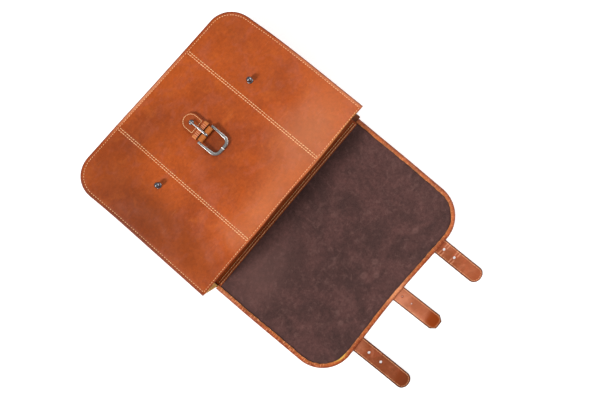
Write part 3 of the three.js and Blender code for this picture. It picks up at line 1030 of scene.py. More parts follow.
@dataclass
class Body:
    """The body: front and back panels with the gusset between them, and their stitching."""

    finishes: Finishes
    mouth_width: float = 388.6
    bottom_width: float = 378.0
    height: float = 277.0
    corner: float = 45.0
    slant: float = 0.03
    mouth_depth: float = 90.0
    bottom_depth: float = 76.0
    crown: float = 8.0
    crown_fall: float = 1.5
    panel: float = 2.0
    gusset: float = 1.8
    gap: float = 0.3
    margin: float = 7.0
    flange: float = 6.6
    bottom_bulge: float = 2.0
    back_overhang: float = 6.6
    end_fade: float = 70.0
    left_tuck: float = 6.0
    tuck_fade: float = 16.0
    left_end: GussetEnd = GussetEnd(rake=6.6, top=4.0, foot=-3.0, bulge=0.5)
    right_end: GussetEnd = GussetEnd(rake=-3.0, top=0.0, foot=0.0, bulge=-6.0)
    fittings_x: float = 2.0
    stud_x: float = 109.0
    stud_down: float = 163.5
    buckle_down: float = 158.0
    stitch_inset: float = 5.3
    mouth_inset: float = 3.0
    seam_mouth: float = 83.4
    seam_bottom: float = 81.6
    seam_rows: float = 3.7
    seam_scale: float = 1.36
    seam_sunk: float = 0.55
    still: float = 64.0
    wall: float = 82.0
    sink: float = 0.15
    channel: float = 0.5
    edge_roll: float = 0.7
    swell_waves: Waves = ((95, 0.9), (48, 0.55), (24, 0.22))
    sway_waves: Waves = ((130, 0.8), (60, 0.4))
    wall_waves: Waves = ((120, 1.6), (55, 0.9), (26, 0.35))
    folds: Table = (  # height, direction across and along, offset, width, middle and length
        (1.1, 0.55, 0.83, 62, 5.0, 5, 55), (-0.9, 0.5, -0.86, -120, 6.0, -95, 40),
    )
    outline_shifts: Table = (  # x, distance from the mouth, reach, push across and along
        (-178, 262, 70, -2.6, 1.0), (-85, 277, 95, 0.0, 0.9), (182, 245, 62, -2.4, 1.0),
        (192, 120, 110, 1.0, 0.0),
    )
    dents: Table = (  # x, distance from the mouth, reach and depth
        (-128, 62, 46, 3.0), (-35, 52, 40, -2.0), (62, 70, 44, 2.5), (140, 150, 48, -2.2),
        (-60, 225, 44, 2.6), (75, 228, 40, 1.8), (-150, 175, 40, -2.0),
    )
    # Patches of the front's colour. The lighter rows along the mouth, most of all the one on the right, are
    # painted sheen; the row at (2, 139) is painted shade inside the buckle frame; the others are darker and
    # lighter patches.
    tones: Table = (  # x, distance from the mouth, reach across and along, share
        (-172, 150, 42, 95, -0.4), (-136, 150, 22, 75, -0.2), (-165, 30, 45, 50, -0.12),
        (-95, 30, 22, 45, 0.12), (-30, 15, 75, 26, 0.2), (110, 35, 75, 55, 0.25),
        (-5, 120, 60, 45, -0.12), (60, 190, 45, 40, -0.06), (-50, 235, 75, 40, -0.2),
        (135, 120, 22, 35, -0.14), (-130, 250, 60, 45, -0.16), (150, 245, 55, 50, -0.12),
        (-125, 50, 60, 60, -0.07), (105, 150, 50, 40, -0.05), (2, 139, 16, 17, -0.3),
    )
    section: Table = (  # flange, share of the height, share of the bulge
        (6.6, 0, 0), (3.2, 0, 0), (1.1, 0.012, 0), (0, 0.05, 0), (0, 0.27, 0.6), (0, 0.5, 1),
        (0, 0.73, 0.6), (0, 0.95, 0), (1.1, 0.988, 0), (3.2, 1, 0), (6.6, 1, 0),
    )

    def half(self, down: Array) -> Array:
        """Half width of the body at a distance from the mouth."""
        return (self.mouth_width + (self.bottom_width - self.mouth_width) * down / self.height) / 2

    def place(self, x: Array, down: Array) -> tuple[Array, Array]:
        """X and y of a place on the body, its bottom edge off square and its outline a little uneven.

        Args:
            x: Places across.
            down: Distances from the mouth.

        Returns:
            X and y.
        """
        across, along = x, down - self.slant * x * down / self.height
        for push_at_x, push_at_down, reach, push_x, push_down in self.outline_shifts:
            near = mound(x, down, (push_at_x, push_at_down), reach)
            across = across + push_x * near
            along = along + push_down * near
        return across, along

    def front_plain(self, x: Array, down: Array) -> Array:
        """Height of the front's middle surface, with its main dents alone.

        Args:
            x: Places across.
            down: Distances from the mouth.

        Returns:
            Heights over the floor.
        """
        share = np.clip(down / self.height, 0, 1)
        plane = self.mouth_depth + (self.bottom_depth - self.mouth_depth) * share - self.panel / 2
        across = np.maximum(1 - (x / self.half(down)) ** 2, 0)
        rise = self.crown * across * np.cos(math.pi / 2 * share**self.crown_fall)
        fade = smoothstep(across, 0.05, 0.35) * smoothstep(1 - share, 0.02, 0.15)
        dip = np.zeros(np.broadcast(x, down).shape)
        for dent_x, dent_y, reach, depth in self.dents:
            dip += depth * mound(x, down, (dent_x, dent_y), reach)
        return plane + rise - fade * dip

    def edge(self, x: Array, down: Array) -> Array:
        """Distance inside the sides and the bottom of the outline.

        Args:
            x: Places across.
            down: Distances from the mouth.

        Returns:
            Distances in mm.
        """
        bend = self.height - self.corner
        centre = self.half(bend) - self.corner
        straight = np.minimum(self.half(down) - np.abs(x), self.height - down)
        round_off = self.corner - np.hypot(np.abs(x) - centre, down - bend)
        return np.where((np.abs(x) > centre) & (down > bend), round_off, straight)

    def seam_at(self, down: Array) -> Array:
        """Distance of the double rows from the middle of the fittings."""
        return self.seam_mouth + (self.seam_bottom - self.seam_mouth) * down / self.height

    def fittings(self) -> list[tuple[float, float]]:
        """Places of the buckle and of the two studs, where the front is kept plain."""
        studs = [(self.fittings_x + side.value * self.stud_x, self.stud_down) for side in Side]
        return [(self.fittings_x, self.buckle_down), *studs]

    def tone(self, x: Array, down: Array) -> Array:
        """How much darker or lighter the front is than its even colour: patches of the dye, with painted
        sheen and painted shade among them, and painted highlights on the margins.

        Args:
            x: Places across.
            down: Distances from the mouth.

        Returns:
            Shares, 0 for the even colour.
        """
        shade = np.zeros(np.broadcast(x, down).shape)
        for patch_x, patch_down, reach_x, reach_down, share in self.tones:
            shade += share * bell(x - patch_x, reach_x * 0.7) * bell(down - patch_down, reach_down * 0.7)
        margin = 1 - smoothstep(self.edge(x, down), 2.5, 6.5)
        below = smoothstep(down, self.height - 25, self.height - 6)
        # Margins: a painted highlight on the right margin near the mouth, the left margin darker, and a
        # painted highlight in the middle of the bottom margin with the rest of that margin a little darker.
        right = 0.32 * smoothstep(x, 60, 180) * (1 - smoothstep(down, 120, 200))
        left = 0.2 * smoothstep(-x, 60, 180) * (1 - below)
        foot = below * (0.85 * bell(x + 22, 60) - 0.1)
        return shade + margin * (right - left + foot)

    def front_top(self, x: Array, down: Array) -> Array:
        """Height of the front's upper surface with its folds and stitched channels.

        Args:
            x: Places across.
            down: Distances from the mouth.

        Returns:
            Heights over the floor.
        """
        inside = self.edge(x, down)
        free = smoothstep(inside, 7, 40)
        for still_x, still_y in self.fittings():
            free = free * smoothstep(np.hypot(x - still_x, down - still_y), 18, self.still)
        swell = free * ripple(x, down, 5, self.swell_waves)
        fold = np.zeros(swell.shape)
        for height, turn_x, turn_down, offset, width, middle, length in self.folds:
            line = x * turn_x + down * turn_down - offset
            fold += free * height * bell(line, width) * bell(x - middle, length)
        channel = self.channel * bell(inside - self.stitch_inset, 0.9)
        channel = channel + self.channel * bell(down - self.mouth_inset, 0.9)
        seam = np.abs(np.abs(x - self.fittings_x) - self.seam_at(down))
        channel = channel + self.channel * bell(seam - self.seam_rows / 2, 0.8) - 0.45 * bell(seam, 1.3)
        roll = self.edge_roll * (1 - smoothstep(np.minimum(inside, down), 0, 4.5))
        return self.front_plain(x, down) + self.panel / 2 + swell + fold - channel - roll

    def grid(self, start: float, pitch: float, extra: list[float]) -> tuple[Array, Array]:
        """Places all over a panel of the body.

        Args:
            start: Distance from the mouth where the panel begins.
            pitch: Distance between places.
            extra: Lines across that get finer places.

        Returns:
            Places across and distances from the mouth, a row for each distance.
        """
        bend = self.height - self.corner
        full = self.half(0)
        spread = columns(full, pitch, extra)
        knee = 0.55 * full
        xs, downs = [], []
        for down, taken in stations(bend, self.corner, 0.0, start, pitch):
            half = self.half(min(down, bend)) - taken
            outer = knee + (np.abs(spread) - knee) * (half - knee) / (full - knee)
            xs.append(np.where(np.abs(spread) > knee, np.sign(spread) * outer, spread))
            downs.append(np.full(len(spread), down))
        return np.array(xs), np.array(downs)

    def front(self) -> Piece:
        """Makes the front panel.

        Returns:
            The front panel.
        """
        middle = (self.seam_mouth + self.seam_bottom) / 2
        x, down = self.grid(0.0, 2.5, [self.fittings_x + side.value * middle for side in Side])
        z = self.front_top(x, down) - self.panel / 2
        sway = ripple(x, down * 0, 11, self.sway_waves) * smoothstep(30 - down, 0, 30)
        sway = sway * smoothstep(self.half(down) - np.abs(x), 0, 30)
        across, along = self.place(x, down)
        points = np.stack([across, along + sway, z], axis=2)
        raw = 0.8 * bell(down, 0.9) * smoothstep(x, 30, 130) * smoothstep(self.half(down) - x, 8, 20)
        edge = np.minimum(self.edge(x, down), down + 1.5)
        notes = {"edge": edge, "tone": self.tone(x, down), "oil_and_sheen": raw}
        return HideSheet("front_hide", points, self.panel, self.finishes.grain_up, notes, rounding=0.7).make()

    def back(self) -> Piece:
        """Makes the back panel, flat on the floor.

        Returns:
            The back panel.
        """
        x, down = self.grid(-self.back_overhang, 5.0, [])
        tuck = self.left_tuck * (1 - smoothstep(down, -self.back_overhang, self.tuck_fade))
        across, along = self.place(x, down)
        across = across + tuck * smoothstep(-x, 150, self.half(0))
        along = np.where(down < 0, down, along)
        points = np.stack([across, along, np.full(x.shape, self.panel / 2)], axis=2)
        notes = {"edge": self.edge(x, down)}
        materials = self.finishes.grain_down
        return HideSheet("back_hide", points, self.panel, materials, notes, rounding=0.7).make()

    def path(self, inset: float, pitch: float) -> Array:
        """Line round the sides and the bottom, from the right of the mouth to its left.

        Args:
            inset: Distance inside the outline.
            pitch: Distance between points.

        Returns:
            A row for each point: x, distance from the mouth, and the direction outward.
        """
        bend = self.height - self.corner
        centre = self.half(bend) - self.corner
        radius = self.corner - inset
        rows = []
        for down in np.arange(0, bend, pitch):
            rows.append((self.half(down) - inset, down, 1, 0))
        for angle in np.linspace(0, math.pi / 2, int(radius * QUARTER / pitch) + 1):
            out = (math.cos(angle), math.sin(angle))
            rows.append((centre + radius * out[0], bend + radius * out[1], *out))
        bottom = np.linspace(centre, -centre, int(2 * centre / pitch) + 1)[1:-1]
        far = [(x, self.height - inset, 0, 1) for x in bottom]
        return np.array(rows + far + mirrored(rows), float)

    def gusset_wall(self) -> Piece:
        """Makes the gusset, tan outside and ochre inside.

        Returns:
            The gusset.
        """
        path = self.path(self.margin, 3.0)
        table = np.array(self.section)
        line = np.column_stack([table[:, 0], table[:, 1] * self.wall, table[:, 2]])
        line = soften(line, 2.0, 7.0)
        out_base, share, soft_part = line[:, 0], line[:, 1] / self.wall, line[:, 2]
        run = run_along(path)
        x0, down0, out_x, out_y = (path[:, k : k + 1] for k in range(4))
        left = x0 < 0
        rake, top, foot, bulge = (
            np.where(left, getattr(self.left_end, key), getattr(self.right_end, key))
            for key in ("rake", "top", "foot", "bulge")
        )
        bulge = bulge + (self.bottom_bulge - bulge) * smoothstep(down0, 0, self.height)
        near = 1 - smoothstep(down0, 0, self.end_fade)
        lean = near * (foot + (top - foot) * share[None]) * (1 - out_base[None] / self.flange)
        soft = np.sin(math.pi * np.clip(share, 0, 1))[None] ** 1.5
        wave = soft * ripple(run[:, None], share[None] * self.wall, 17, self.wall_waves)
        wave = wave * (1 - 0.7 * near)
        tuck = left * self.left_tuck * (1 - smoothstep(down0, 0, self.tuck_fade))
        flange = out_base[None] * (1 - tuck * (1 - share[None]) / self.flange)
        out = flange + soft_part[None] * bulge + lean + wave
        x = x0 + out_x * out
        down = down0 + out_y * out
        low = self.panel + self.gap + self.gusset / 2
        high = self.front_plain(x, down) - self.panel / 2 - self.gap - self.gusset / 2 - self.sink
        z = low + (high - low) * share[None]
        across, along = self.place(x, down)
        points = np.stack([across, along - near * rake * (1 - share[None]), z], axis=2)
        notes = {"edge": np.broadcast_to(20 - 3 * np.maximum(out_base - 1, 0), x.shape)}
        materials = [self.finishes.hide, self.finishes.flesh, self.finishes.edge]
        return HideSheet("gusset_hide", points, self.gusset, materials, notes, flip=True).make()

    def lift(self, x: Array, down: Array) -> tuple[Array, Array]:
        """Points on the front's upper surface and the directions out of it.

        Args:
            x: Places across.
            down: Distances from the mouth.

        Returns:
            Points and directions, a row each.
        """
        step = 4.0
        slope_x = (self.front_plain(x + step, down) - self.front_plain(x - step, down)) / (2 * step)
        slope_y = (self.front_plain(x, down + step) - self.front_plain(x, down - step)) / (2 * step)
        normals = np.stack([-slope_x, -slope_y, np.ones_like(x)], 1)
        points = np.stack([*self.place(x, down), self.front_top(x, down)], 1)
        return points, normals / np.linalg.norm(normals, axis=1, keepdims=True)

    def front_stitching(self) -> Piece:
        """Sews the front's border and the two double rows.

        Returns:
            The stitching.
        """
        seam = Seam("front_stitching", self.finishes.thread, pitch=4.4, length=2.7, gauge=0.98)
        border = self.path(self.stitch_inset, 2.0)
        border = border[border[:, 1] >= self.mouth_inset]
        seam.add(*self.lift(border[:, 0], border[:, 1]))
        corner = self.half(0) - self.stitch_inset
        stops = [-corner]
        for side in Side:
            middle = self.fittings_x + side.value * self.seam_mouth
            stops += [middle - self.seam_rows, middle + self.seam_rows]
        stops.append(corner)
        for start, end in zip(stops[::2], stops[1::2]):
            x = np.linspace(start, end, 120)
            seam.add(*self.lift(x, np.full(120, self.mouth_inset)))
        for side in Side:
            for row in (-0.5, 0.5):
                down = np.linspace(self.mouth_inset, self.height - self.stitch_inset - 1.5, 200)
                x = self.fittings_x + side.value * self.seam_at(down) + row * self.seam_rows
                seam.add(*self.lift(x, down), self.seam_scale)
            middle = self.fittings_x + side.value * self.seam_mouth
            x = np.linspace(middle - self.seam_rows / 2, middle + self.seam_rows / 2, 12)
            seam.add(*self.lift(x, np.full(12, self.mouth_inset)))
        return seam.make()

    def back_stitching(self) -> Piece:
        """Sews the back's border, seen from under, and the flanges seen from the side.

        Returns:
            The stitching.
        """
        seam = Seam("seam_stitching", self.finishes.thread, seed=9)
        line = self.path(self.margin - 3.4, 2.5)
        line = line[line[:, 1] > self.tuck_fade]
        under = self.front_plain(line[:, 0], line[:, 1]) - self.panel / 2
        under = under - self.gap - self.gusset - self.sink
        x, y = self.place(line[:, 0], line[:, 1])
        flat = upward(len(x))
        seam.add(level(x, y, self.panel + self.gap + self.gusset), flat)
        seam.add(level(x, y, self.seam_sunk), -flat)
        seam.add(np.stack([x, y, under], 1), -flat)
        return seam.make()

    def build(self) -> None:
        """Builds the body and hands its pieces over."""
        hand_over(self.front(), "tan_leather", "front_panel")
        hand_over(self.back(), "tan_leather", "back_panel")
        hand_over(self.gusset_wall(), "ochre_leather", "gusset")
        hand_over(self.front_stitching())
        hand_over(self.back_stitching())


@dataclass
class Flap:
    """The open flap: outside leather, suede lining, rolled edge and the band over its root."""

    finishes: Finishes
    start: float = 7.0
    reach: float = 255.0
    width: float = 380.6
    corner: float = 61.0
    far_dip: float = 4.2
    dip_reach: float = 100.0
    far_tilt: float = 1.0
    leather: float = 1.8
    suede: float = 1.2
    gap: float = 0.3
    roll: float = 1.0
    roll_gap: float = 0.5
    roll_leg: float = 8.0
    roll_start: float = 6.65
    inset: float = 2.4
    lining_start: float = 10.9
    strap: float = 2.8
    rise_from: float = 12.0
    rise_to: float = 125.0
    band: float = 1.5
    band_half: float = 181.8
    band_over_flap: float = 10.5
    band_step: tuple[float, float] = (2.6, 6.0)
    back_panel: float = 2.0
    waves: Table = (  # x, distance from the mouth edge, reach and height
        (-150, 66, 75, 3.2), (140, 130, 80, 3.6), (-20, 118, 85, 2.4), (60, 215, 60, 1.8),
    )
    suede_waves: Waves = ((70, 0.7), (32, 0.3))
    fray_waves: Waves = ((34, 0.35), (11, 0.25))
    pucker_waves: Waves = ((16, 0.12), (7, 0.09))
    pucker_run: float = 215.0
    ochre_run: float = 268.0
    band_waves: Waves = ((60, 0.8), (25, 0.4))
    band_swell: float = 0.12
    band_rows: tuple[float, float] = (4.0, 8.2)
    crease_x: float = 59.0
    crease_out: float = 182.0
    pale_patch_x: float = 120.0
    pale_patch_out: float = 50.0
    marks: Table = (  # x, distance from the mouth edge, radius
        (20.6, 187, 4.8), (-10, 187.4, 5.5), (4.4, 204, 4.6), (105, 204, 4.5), (-97, 208, 3.8),
        (-87, 191, 2.6),
    )

    def __post_init__(self) -> None:
        """Works out the roll's radius and the heights that the flap lies between."""
        self.roll_radius = (self.leather + self.gap + self.suede + 2 * self.roll_gap + self.roll) / 2
        self.stack_lift = (self.gap + self.suede) / 2
        self.low = self.roll_radius + self.roll / 2 - self.stack_lift + 0.1
        self.high = self.low + self.strap + self.gap

    def mid(self, x: Array, out: Array) -> Array:
        """Height of the middle of the outside leather.

        Args:
            x: Places across.
            out: Distances from the mouth edge.

        Returns:
            Heights over the floor.
        """
        lift = self.low + (self.high - self.low) * smoothstep(out, self.rise_from, self.rise_to)
        swell = np.zeros(np.broadcast(x, out).shape)
        for wave_x, wave_out, reach, height in self.waves:
            swell += height * mound(x, out, (wave_x, wave_out), reach)
        return lift + smoothstep(out, self.rise_from, self.rise_to / 2) * swell

    def along(self, x: Array, out: Array) -> Array:
        """Y of a place on the flap, whose far edge curves in at its middle and is a little off square."""
        dip = self.far_dip * np.exp(-((x / self.dip_reach) ** 2)) + 2 * self.far_tilt * x / self.width
        return dip * (out / self.reach) ** 2 - out

    def layer(self, start: float, pitch: float) -> tuple[Array, Array]:
        """Places all over one layer of the flap.

        Args:
            start: Distance from the mouth edge where the layer begins.
            pitch: Distance between places.

        Returns:
            Places across and distances from the mouth edge, a row for each distance.
        """
        full = self.width / 2
        spread = columns(full, pitch, [])
        bend = self.reach - self.corner
        xs, outs = [], []
        for out, taken in stations(bend, self.corner, self.inset, start, pitch):
            xs.append(spread * (full - taken) / full)
            outs.append(np.full(len(spread), out))
        return np.array(xs), np.array(outs)

    def outer(self) -> Piece:
        """Makes the outside leather.

        Returns:
            The outside leather, underneath.
        """
        x, out = self.layer(self.start, 5.0)
        points = np.stack([x, self.along(x, out), self.mid(x, out)], axis=2)
        notes = {"edge": np.full(x.shape, 20.0)}
        materials = self.finishes.grain_down
        return HideSheet("flap_hide", points, self.leather, materials, notes, rounding=0.4, flip=True).make()

    def lining(self) -> Piece:
        """Makes the suede lining with its pressed marks.

        Returns:
            The lining.
        """
        x, out = self.layer(self.lining_start, 1.9)
        edge = np.minimum(self.width / 2 - np.abs(x), self.reach - out)
        soft = smoothstep(edge, 9, 30) * smoothstep(out, 14, 40)
        lift = self.leather / 2 + self.gap + self.suede / 2
        z = self.mid(x, out) + lift + soft * (0.5 + ripple(x, out, 23, self.suede_waves))
        mark = np.zeros(x.shape)
        for mark_x, mark_out, radius in self.marks:
            away = np.hypot(x - mark_x, out - mark_out)
            mark += 0.8 * bell(away - radius * 0.7, 1.4) + 0.1 * bell(away, radius * 0.6)
        mark += 0.45 * bell(x + self.crease_x, 1.4) * bell(out - self.crease_out, 20)
        # a paler patch near the left end of the hinge
        mark += 0.75 * bell(x + self.pale_patch_x, 45) * bell(out - self.pale_patch_out, 30)
        z = z - 0.35 * np.clip(mark, 0, 1)
        points = np.stack([x, self.along(x, out), z], axis=2)
        notes = {"mark": np.clip(mark, 0, 1)}
        materials = [self.finishes.suede]
        return HideSheet("suede_lining", points, self.suede, materials, notes, rounding=0.3, flip=True).make()

    def binding(self) -> Piece:
        """Makes the rolled edge round three sides.

        Returns:
            The rolled edge.
        """
        nose = self.roll / 2 + self.roll_radius
        angles = np.linspace(-math.pi / 2, math.pi / 2, 9)
        legs = np.linspace(self.roll_leg, nose, 4)[:-1]
        depth = np.concatenate([legs, nose - self.roll_radius * np.cos(angles), legs[::-1]])
        rise = self.roll_radius * np.concatenate([-np.ones(3), np.sin(angles), np.ones(3)])
        rows = []
        bend = self.reach - self.corner
        centre = self.width / 2 - self.corner
        for out in np.arange(self.roll_start, bend, 1.5):
            rows.append((self.width / 2, out, 1, 0))
        for angle in np.linspace(0, math.pi / 2, 60):
            way = (math.cos(angle), math.sin(angle))
            rows.append((centre + self.corner * way[0], bend + self.corner * way[1], *way))
        far = [(x, self.reach, 0, 1) for x in np.arange(centre, -centre, -1.5)[1:]]
        path = np.array(rows + far + mirrored(rows), float)
        run = run_along(path)
        girth = run_along(np.column_stack([depth, rise]))
        upper = rise > 0.9 * self.roll_radius
        fray = ripple(run, run * 0, 31, self.fray_waves)
        loose = np.where(upper, (depth - nose) / (self.roll_leg - nose), 0)
        depth = depth[None] + loose[None] * fray[:, None]
        pucker = ripple(run[:, None], girth[None] * 0.5, 37, self.pucker_waves)
        turns = np.minimum(np.abs(run - self.pucker_run), np.abs(run - run[-1] + self.pucker_run))
        pucker = pucker * (1 + 0.9 * bell(turns, 40)[:, None])
        upward = np.clip(rise / self.roll_radius, -0.2, 1)[None]
        x = path[:, :1] - path[:, 2:3] * depth
        out = path[:, 1:2] - path[:, 3:4] * depth
        z = self.mid(x, out) + self.stack_lift + rise[None] + pucker * upward
        points = np.stack([x, self.along(x, out), z], axis=2)
        inner = upper[None] * smoothstep(depth, 6.2, 7.6)
        patch = bell(run - run[-1] + self.ochre_run, 7)[:, None]
        # Painted highlights on the roll: at its left root, round the centre strap's root, along the right
        # side and along the upper leg's inner half.
        root = bell(out - 26, 15) * smoothstep(-x, 120, 160) * (0.1 + 0.7 * bell(depth - 3.4, 1.2))
        painted_highlight = bell(x - 5, 16) * smoothstep(out, 230, 250) + root
        painted_highlight = painted_highlight + 0.1 * smoothstep(x, 120, 170) * smoothstep(out, 40, 90) * upper[None]
        painted_highlight = painted_highlight + 0.16 * smoothstep(depth, 3.4, 5.0) * upper[None]
        raw = inner * (0.15 + patch) + 0.8 * patch * smoothstep(depth, 4.5, 6.5) * upper
        drawn = smoothstep(out, 215, 240) * (1 - bell(x - 5, 16))
        notes = {
            "run": np.broadcast_to(run[:, None] * MM, x.shape),
            "girth": np.broadcast_to(girth[None] * MM, x.shape),
            "raw": np.clip(raw, 0, 1),
            "painted_highlight": 0.55 * np.clip(painted_highlight, 0, 1),
            # painted shade on the roll's outer side, which faces out and down
            "rim": 0.75 * (1 - smoothstep(depth, 1.5, 4.4)),
            "smooth": np.maximum(drawn, smoothstep(x, 120, 170)),
        }
        materials = [self.finishes.rolled]
        return HideSheet("rolled_edge", points, self.roll, materials, notes, rounding=0.25).make()

    def hinge(self) -> Piece:
        """Makes the band over the joint between back and flap.

        Returns:
            The band.
        """
        over_back = self.back_panel + self.gap + self.band / 2
        over_flap = self.low + self.leather / 2 + self.gap + self.band / 2
        profile = np.array(
            [
                (-BAND_OVER_BACK, over_back),
                (self.band_step[0], over_back),
                (self.band_step[1], over_flap),
                (self.band_over_flap, over_flap),
            ]
        )
        profile = soften(profile, 1.0, 2.0)
        x = np.linspace(self.band_half, -self.band_half, 120)
        out = profile[:, :1] + 0 * x[None]
        z = profile[:, 1:] + self.band_swell * (1 + ripple(x[None], out, 53, self.band_waves))
        points = np.stack([np.broadcast_to(x[None], out.shape), -out, z], axis=2)
        sides = np.minimum(out + BAND_OVER_BACK, self.band_over_flap - out)
        inside = np.minimum(self.band_half - np.abs(points[..., 0]), sides)
        # The band is painted darker all over: painted shade of the front panel that overhangs it.
        notes = {"edge": inside + 2, "tone": np.full(inside.shape, -0.2)}
        return HideSheet("hinge_hide", points, self.band, self.finishes.grain_up, notes, rounding=0.4).make()

    def stitching(self) -> Piece:
        """Sews the two rows of the hinge band.

        Returns:
            The stitching.
        """
        seam = Seam("hinge_stitching", self.finishes.thread, seed=21)
        x = np.linspace(self.band_half - 3, 3 - self.band_half, 200)
        top = self.low + self.leather / 2 + self.gap + self.band + self.band_swell
        for out in self.band_rows:
            lift = (top - 0.9) if out < self.band_step[1] else top
            seam.add(level(x, np.full(len(x), -out), lift), upward(len(x)))
        return seam.make()

    def build(self) -> None:
        """Builds the flap and hands its pieces over."""
        hand_over(self.outer(), "tan_leather", "flap_outer")
        lining = self.lining()
        hand_over(lining, "dark_suede", "flap_lining")
        hand_over(self.binding(), "edge_leather", "flap_binding")
        hand_over(self.hinge(), "tan_leather", "hinge_band")
        hand_over(self.stitching())


class Tip(Enum):
    """How a strap ends."""

    ROUND = "round"
    CLIPPED = "clipped"


@dataclass
class Strap:
    """One strap end: stitched leather with punched holes, its root under the flap."""

    finishes: Finishes
    node: str
    x: float
    shown: float
    swing: float
    holes: tuple[float, ...]
    bores: tuple[float, ...]
    tip: Tip
    tone: float
    # Lighter and darker patches along the strap: real wear, and on the centre strap painted shade in its
    # first hole.
    wear_and_shade: Table = ()  # across, along, reach across and along, share
    creased: float = 0.0
    oiled: float = 25.0
    oil_and_sheen: float = 0.85
    flap_reach: float = 255.0
    width: float = 29.0
    root: float = 105.0
    tip_length: float = 12.0
    tip_flat: float = 7.5
    thickness: float = 2.8
    stitch_inset: float = 2.9
    groove: float = 0.35
    pad: float = 0.25
    lifted: float = 2.2
    drill: float = 30.0

    def half(self, along: Array) -> Array:
        """Half width at a distance past the flap's edge.

        Args:
            along: Distances past the flap's edge.

        Returns:
            Half widths in mm.
        """
        into = np.clip((along - (self.shown - self.tip_length)) / self.tip_length, 0, 1)
        if self.tip is Tip.ROUND:
            return self.width / 2 * np.sqrt(np.maximum(1 - into**2, 0.02))
        return self.width / 2 + (self.tip_flat - self.width / 2) * into

    def place(self, across: Array, along: Array, z: Array) -> Array:
        """Points of the strap, swung a little about where it leaves the flap.

        Args:
            across: Distances from its middle line.
            along: Distances past the flap's edge.
            z: Heights.

        Returns:
            Points with x, y and z in the last place.
        """
        turn = math.radians(self.swing)
        x = self.x + across * math.cos(turn) + along * math.sin(turn)
        y = -self.flap_reach + across * math.sin(turn) - along * math.cos(turn)
        return np.stack([x, y, np.broadcast_to(z, x.shape)], axis=-1)

    def top(self, across: Array, along: Array) -> Array:
        """Height of the upper surface: a slight pad, stitched channels and creases at the holes.

        Args:
            across: Distances from the middle line.
            along: Distances past the flap's edge.

        Returns:
            Heights in mm.
        """
        inside = self.half(along) - np.abs(across)
        z = self.thickness - self.groove * bell(inside - self.stitch_inset, 0.8)
        z = z + self.pad * smoothstep(inside, 3.5, 9)
        for hole, bore in zip(self.holes, self.bores):
            z = z - 0.3 * bell(along - hole - 0.06 * across, 0.7) * smoothstep(np.abs(across), 2, 4)
            z = z - 0.25 * bell(np.hypot(across, along - hole) - bore / 2, 0.8)
        return z + self.curl(along)

    def curl(self, along: Array) -> Array:
        """How far the loose end lifts off the floor."""
        return self.lifted * smoothstep(along, self.shown * 0.35, self.shown) ** 2

    def dye(self, across: Array, along: Array) -> Array:
        """How much darker or lighter the strap is than its even colour: its own tone, patches of wear, crease
        lines at the holes and, on the centre strap, a painted shadow in its first hole.

        Args:
            across: Distances from the middle line.
            along: Distances past the flap's edge.

        Returns:
            Shares, 0 for the even colour.
        """
        tone = np.full(across.shape, self.tone)
        for patch_across, patch_along, reach_across, reach_along, share in self.wear_and_shade:
            patch = share * bell(across - patch_across, reach_across)
            tone = tone + patch * bell(along - patch_along, reach_along)
        for hole in self.holes:
            for shift, share in ((-2.5, 0.9), (2.7, 1.0)):
                line = bell(along - hole - shift - 0.08 * across, 0.6)
                tone = tone + self.creased * share * line * smoothstep(np.abs(across), 2, 5)
        return tone

    def dark_end(self, across: Array, along: Array) -> Array:
        """How far the oiled end has taken its dark colour, from 0 to 1."""
        start = self.shown - self.oiled
        return self.oil_and_sheen * smoothstep(along + 0.15 * across, start - 5, start + 5)

    def leather(self) -> Piece:
        """Makes the strap and punches its holes.

        Returns:
            The strap.
        """
        body = np.concatenate(
            [np.arange(-self.root, 0, 2.5), np.arange(0, self.shown - self.tip_length, 0.8)]
        )
        end = self.shown - self.tip_length + self.tip_length * np.sin(np.linspace(0, math.pi / 2, 14))
        along = np.concatenate([body, end])
        share = np.linspace(1, -1, 25)
        across = self.half(along)[:, None] * share[None]
        runs = np.broadcast_to(along[:, None], across.shape)
        z = self.top(across, runs) - self.thickness / 2
        points = self.place(across, runs, z)
        inside = np.minimum(self.half(runs) - np.abs(across), self.shown - runs)
        materials = [self.finishes.strap, self.finishes.inside, self.finishes.edge]
        notes = {"edge": inside, "tone": self.dye(across, runs), "oil_and_sheen": self.dark_end(across, runs)}
        name = self.node + "_hide"
        strap = HideSheet(name, points, self.thickness, materials, notes, rounding=0.6).make()
        press_flat(strap)
        for hole, bore in zip(self.holes, self.bores):
            deselect()
            centre = self.place(np.array(0.0), np.array(hole), np.array(0.0))
            spot = (centre + MOUTH) * MM
            bpy.ops.mesh.primitive_cylinder_add(
                vertices=28, radius=bore / 2 * MM, depth=self.drill * MM, location=spot
            )
            unite(strap, bpy.context.object, Joint.CUT)
        polish(strap, SHARP)
        return strap

    def stitching(self) -> Piece:
        """Sews the strap's border.

        Returns:
            The stitching.
        """
        name = self.node + "_stitching"
        seam = Seam(name, self.finishes.thread, pitch=3.8, length=2.8, gauge=0.6, slant=4.0, seed=33)
        start = 3.0 - self.root
        for side in Side:
            along = np.linspace(start, self.shown - self.tip_length, 160)
            across = side.value * (self.half(along) - self.stitch_inset)
            self.sew(seam, across, along)
        angle = np.linspace(-math.pi / 2, math.pi / 2, 50)
        reach = self.tip_length - self.stitch_inset
        along = self.shown - self.tip_length + reach * np.cos(angle)
        across = (self.width / 2 - self.stitch_inset) * np.sin(angle)
        if self.tip is Tip.CLIPPED:
            side, flat = self.width / 2 - self.stitch_inset, self.tip_flat - 0.4
            corners = np.array([0.0, 1.0, 2.0, 3.0])
            at = np.linspace(0, 3, 50)
            across = np.interp(at, corners, [-side, -flat, flat, side])
            inset, side_end = self.stitch_inset, self.tip_length
            along = self.shown - np.interp(at, corners, [side_end, inset, inset, side_end])
        self.sew(seam, across, along)
        return seam.make()

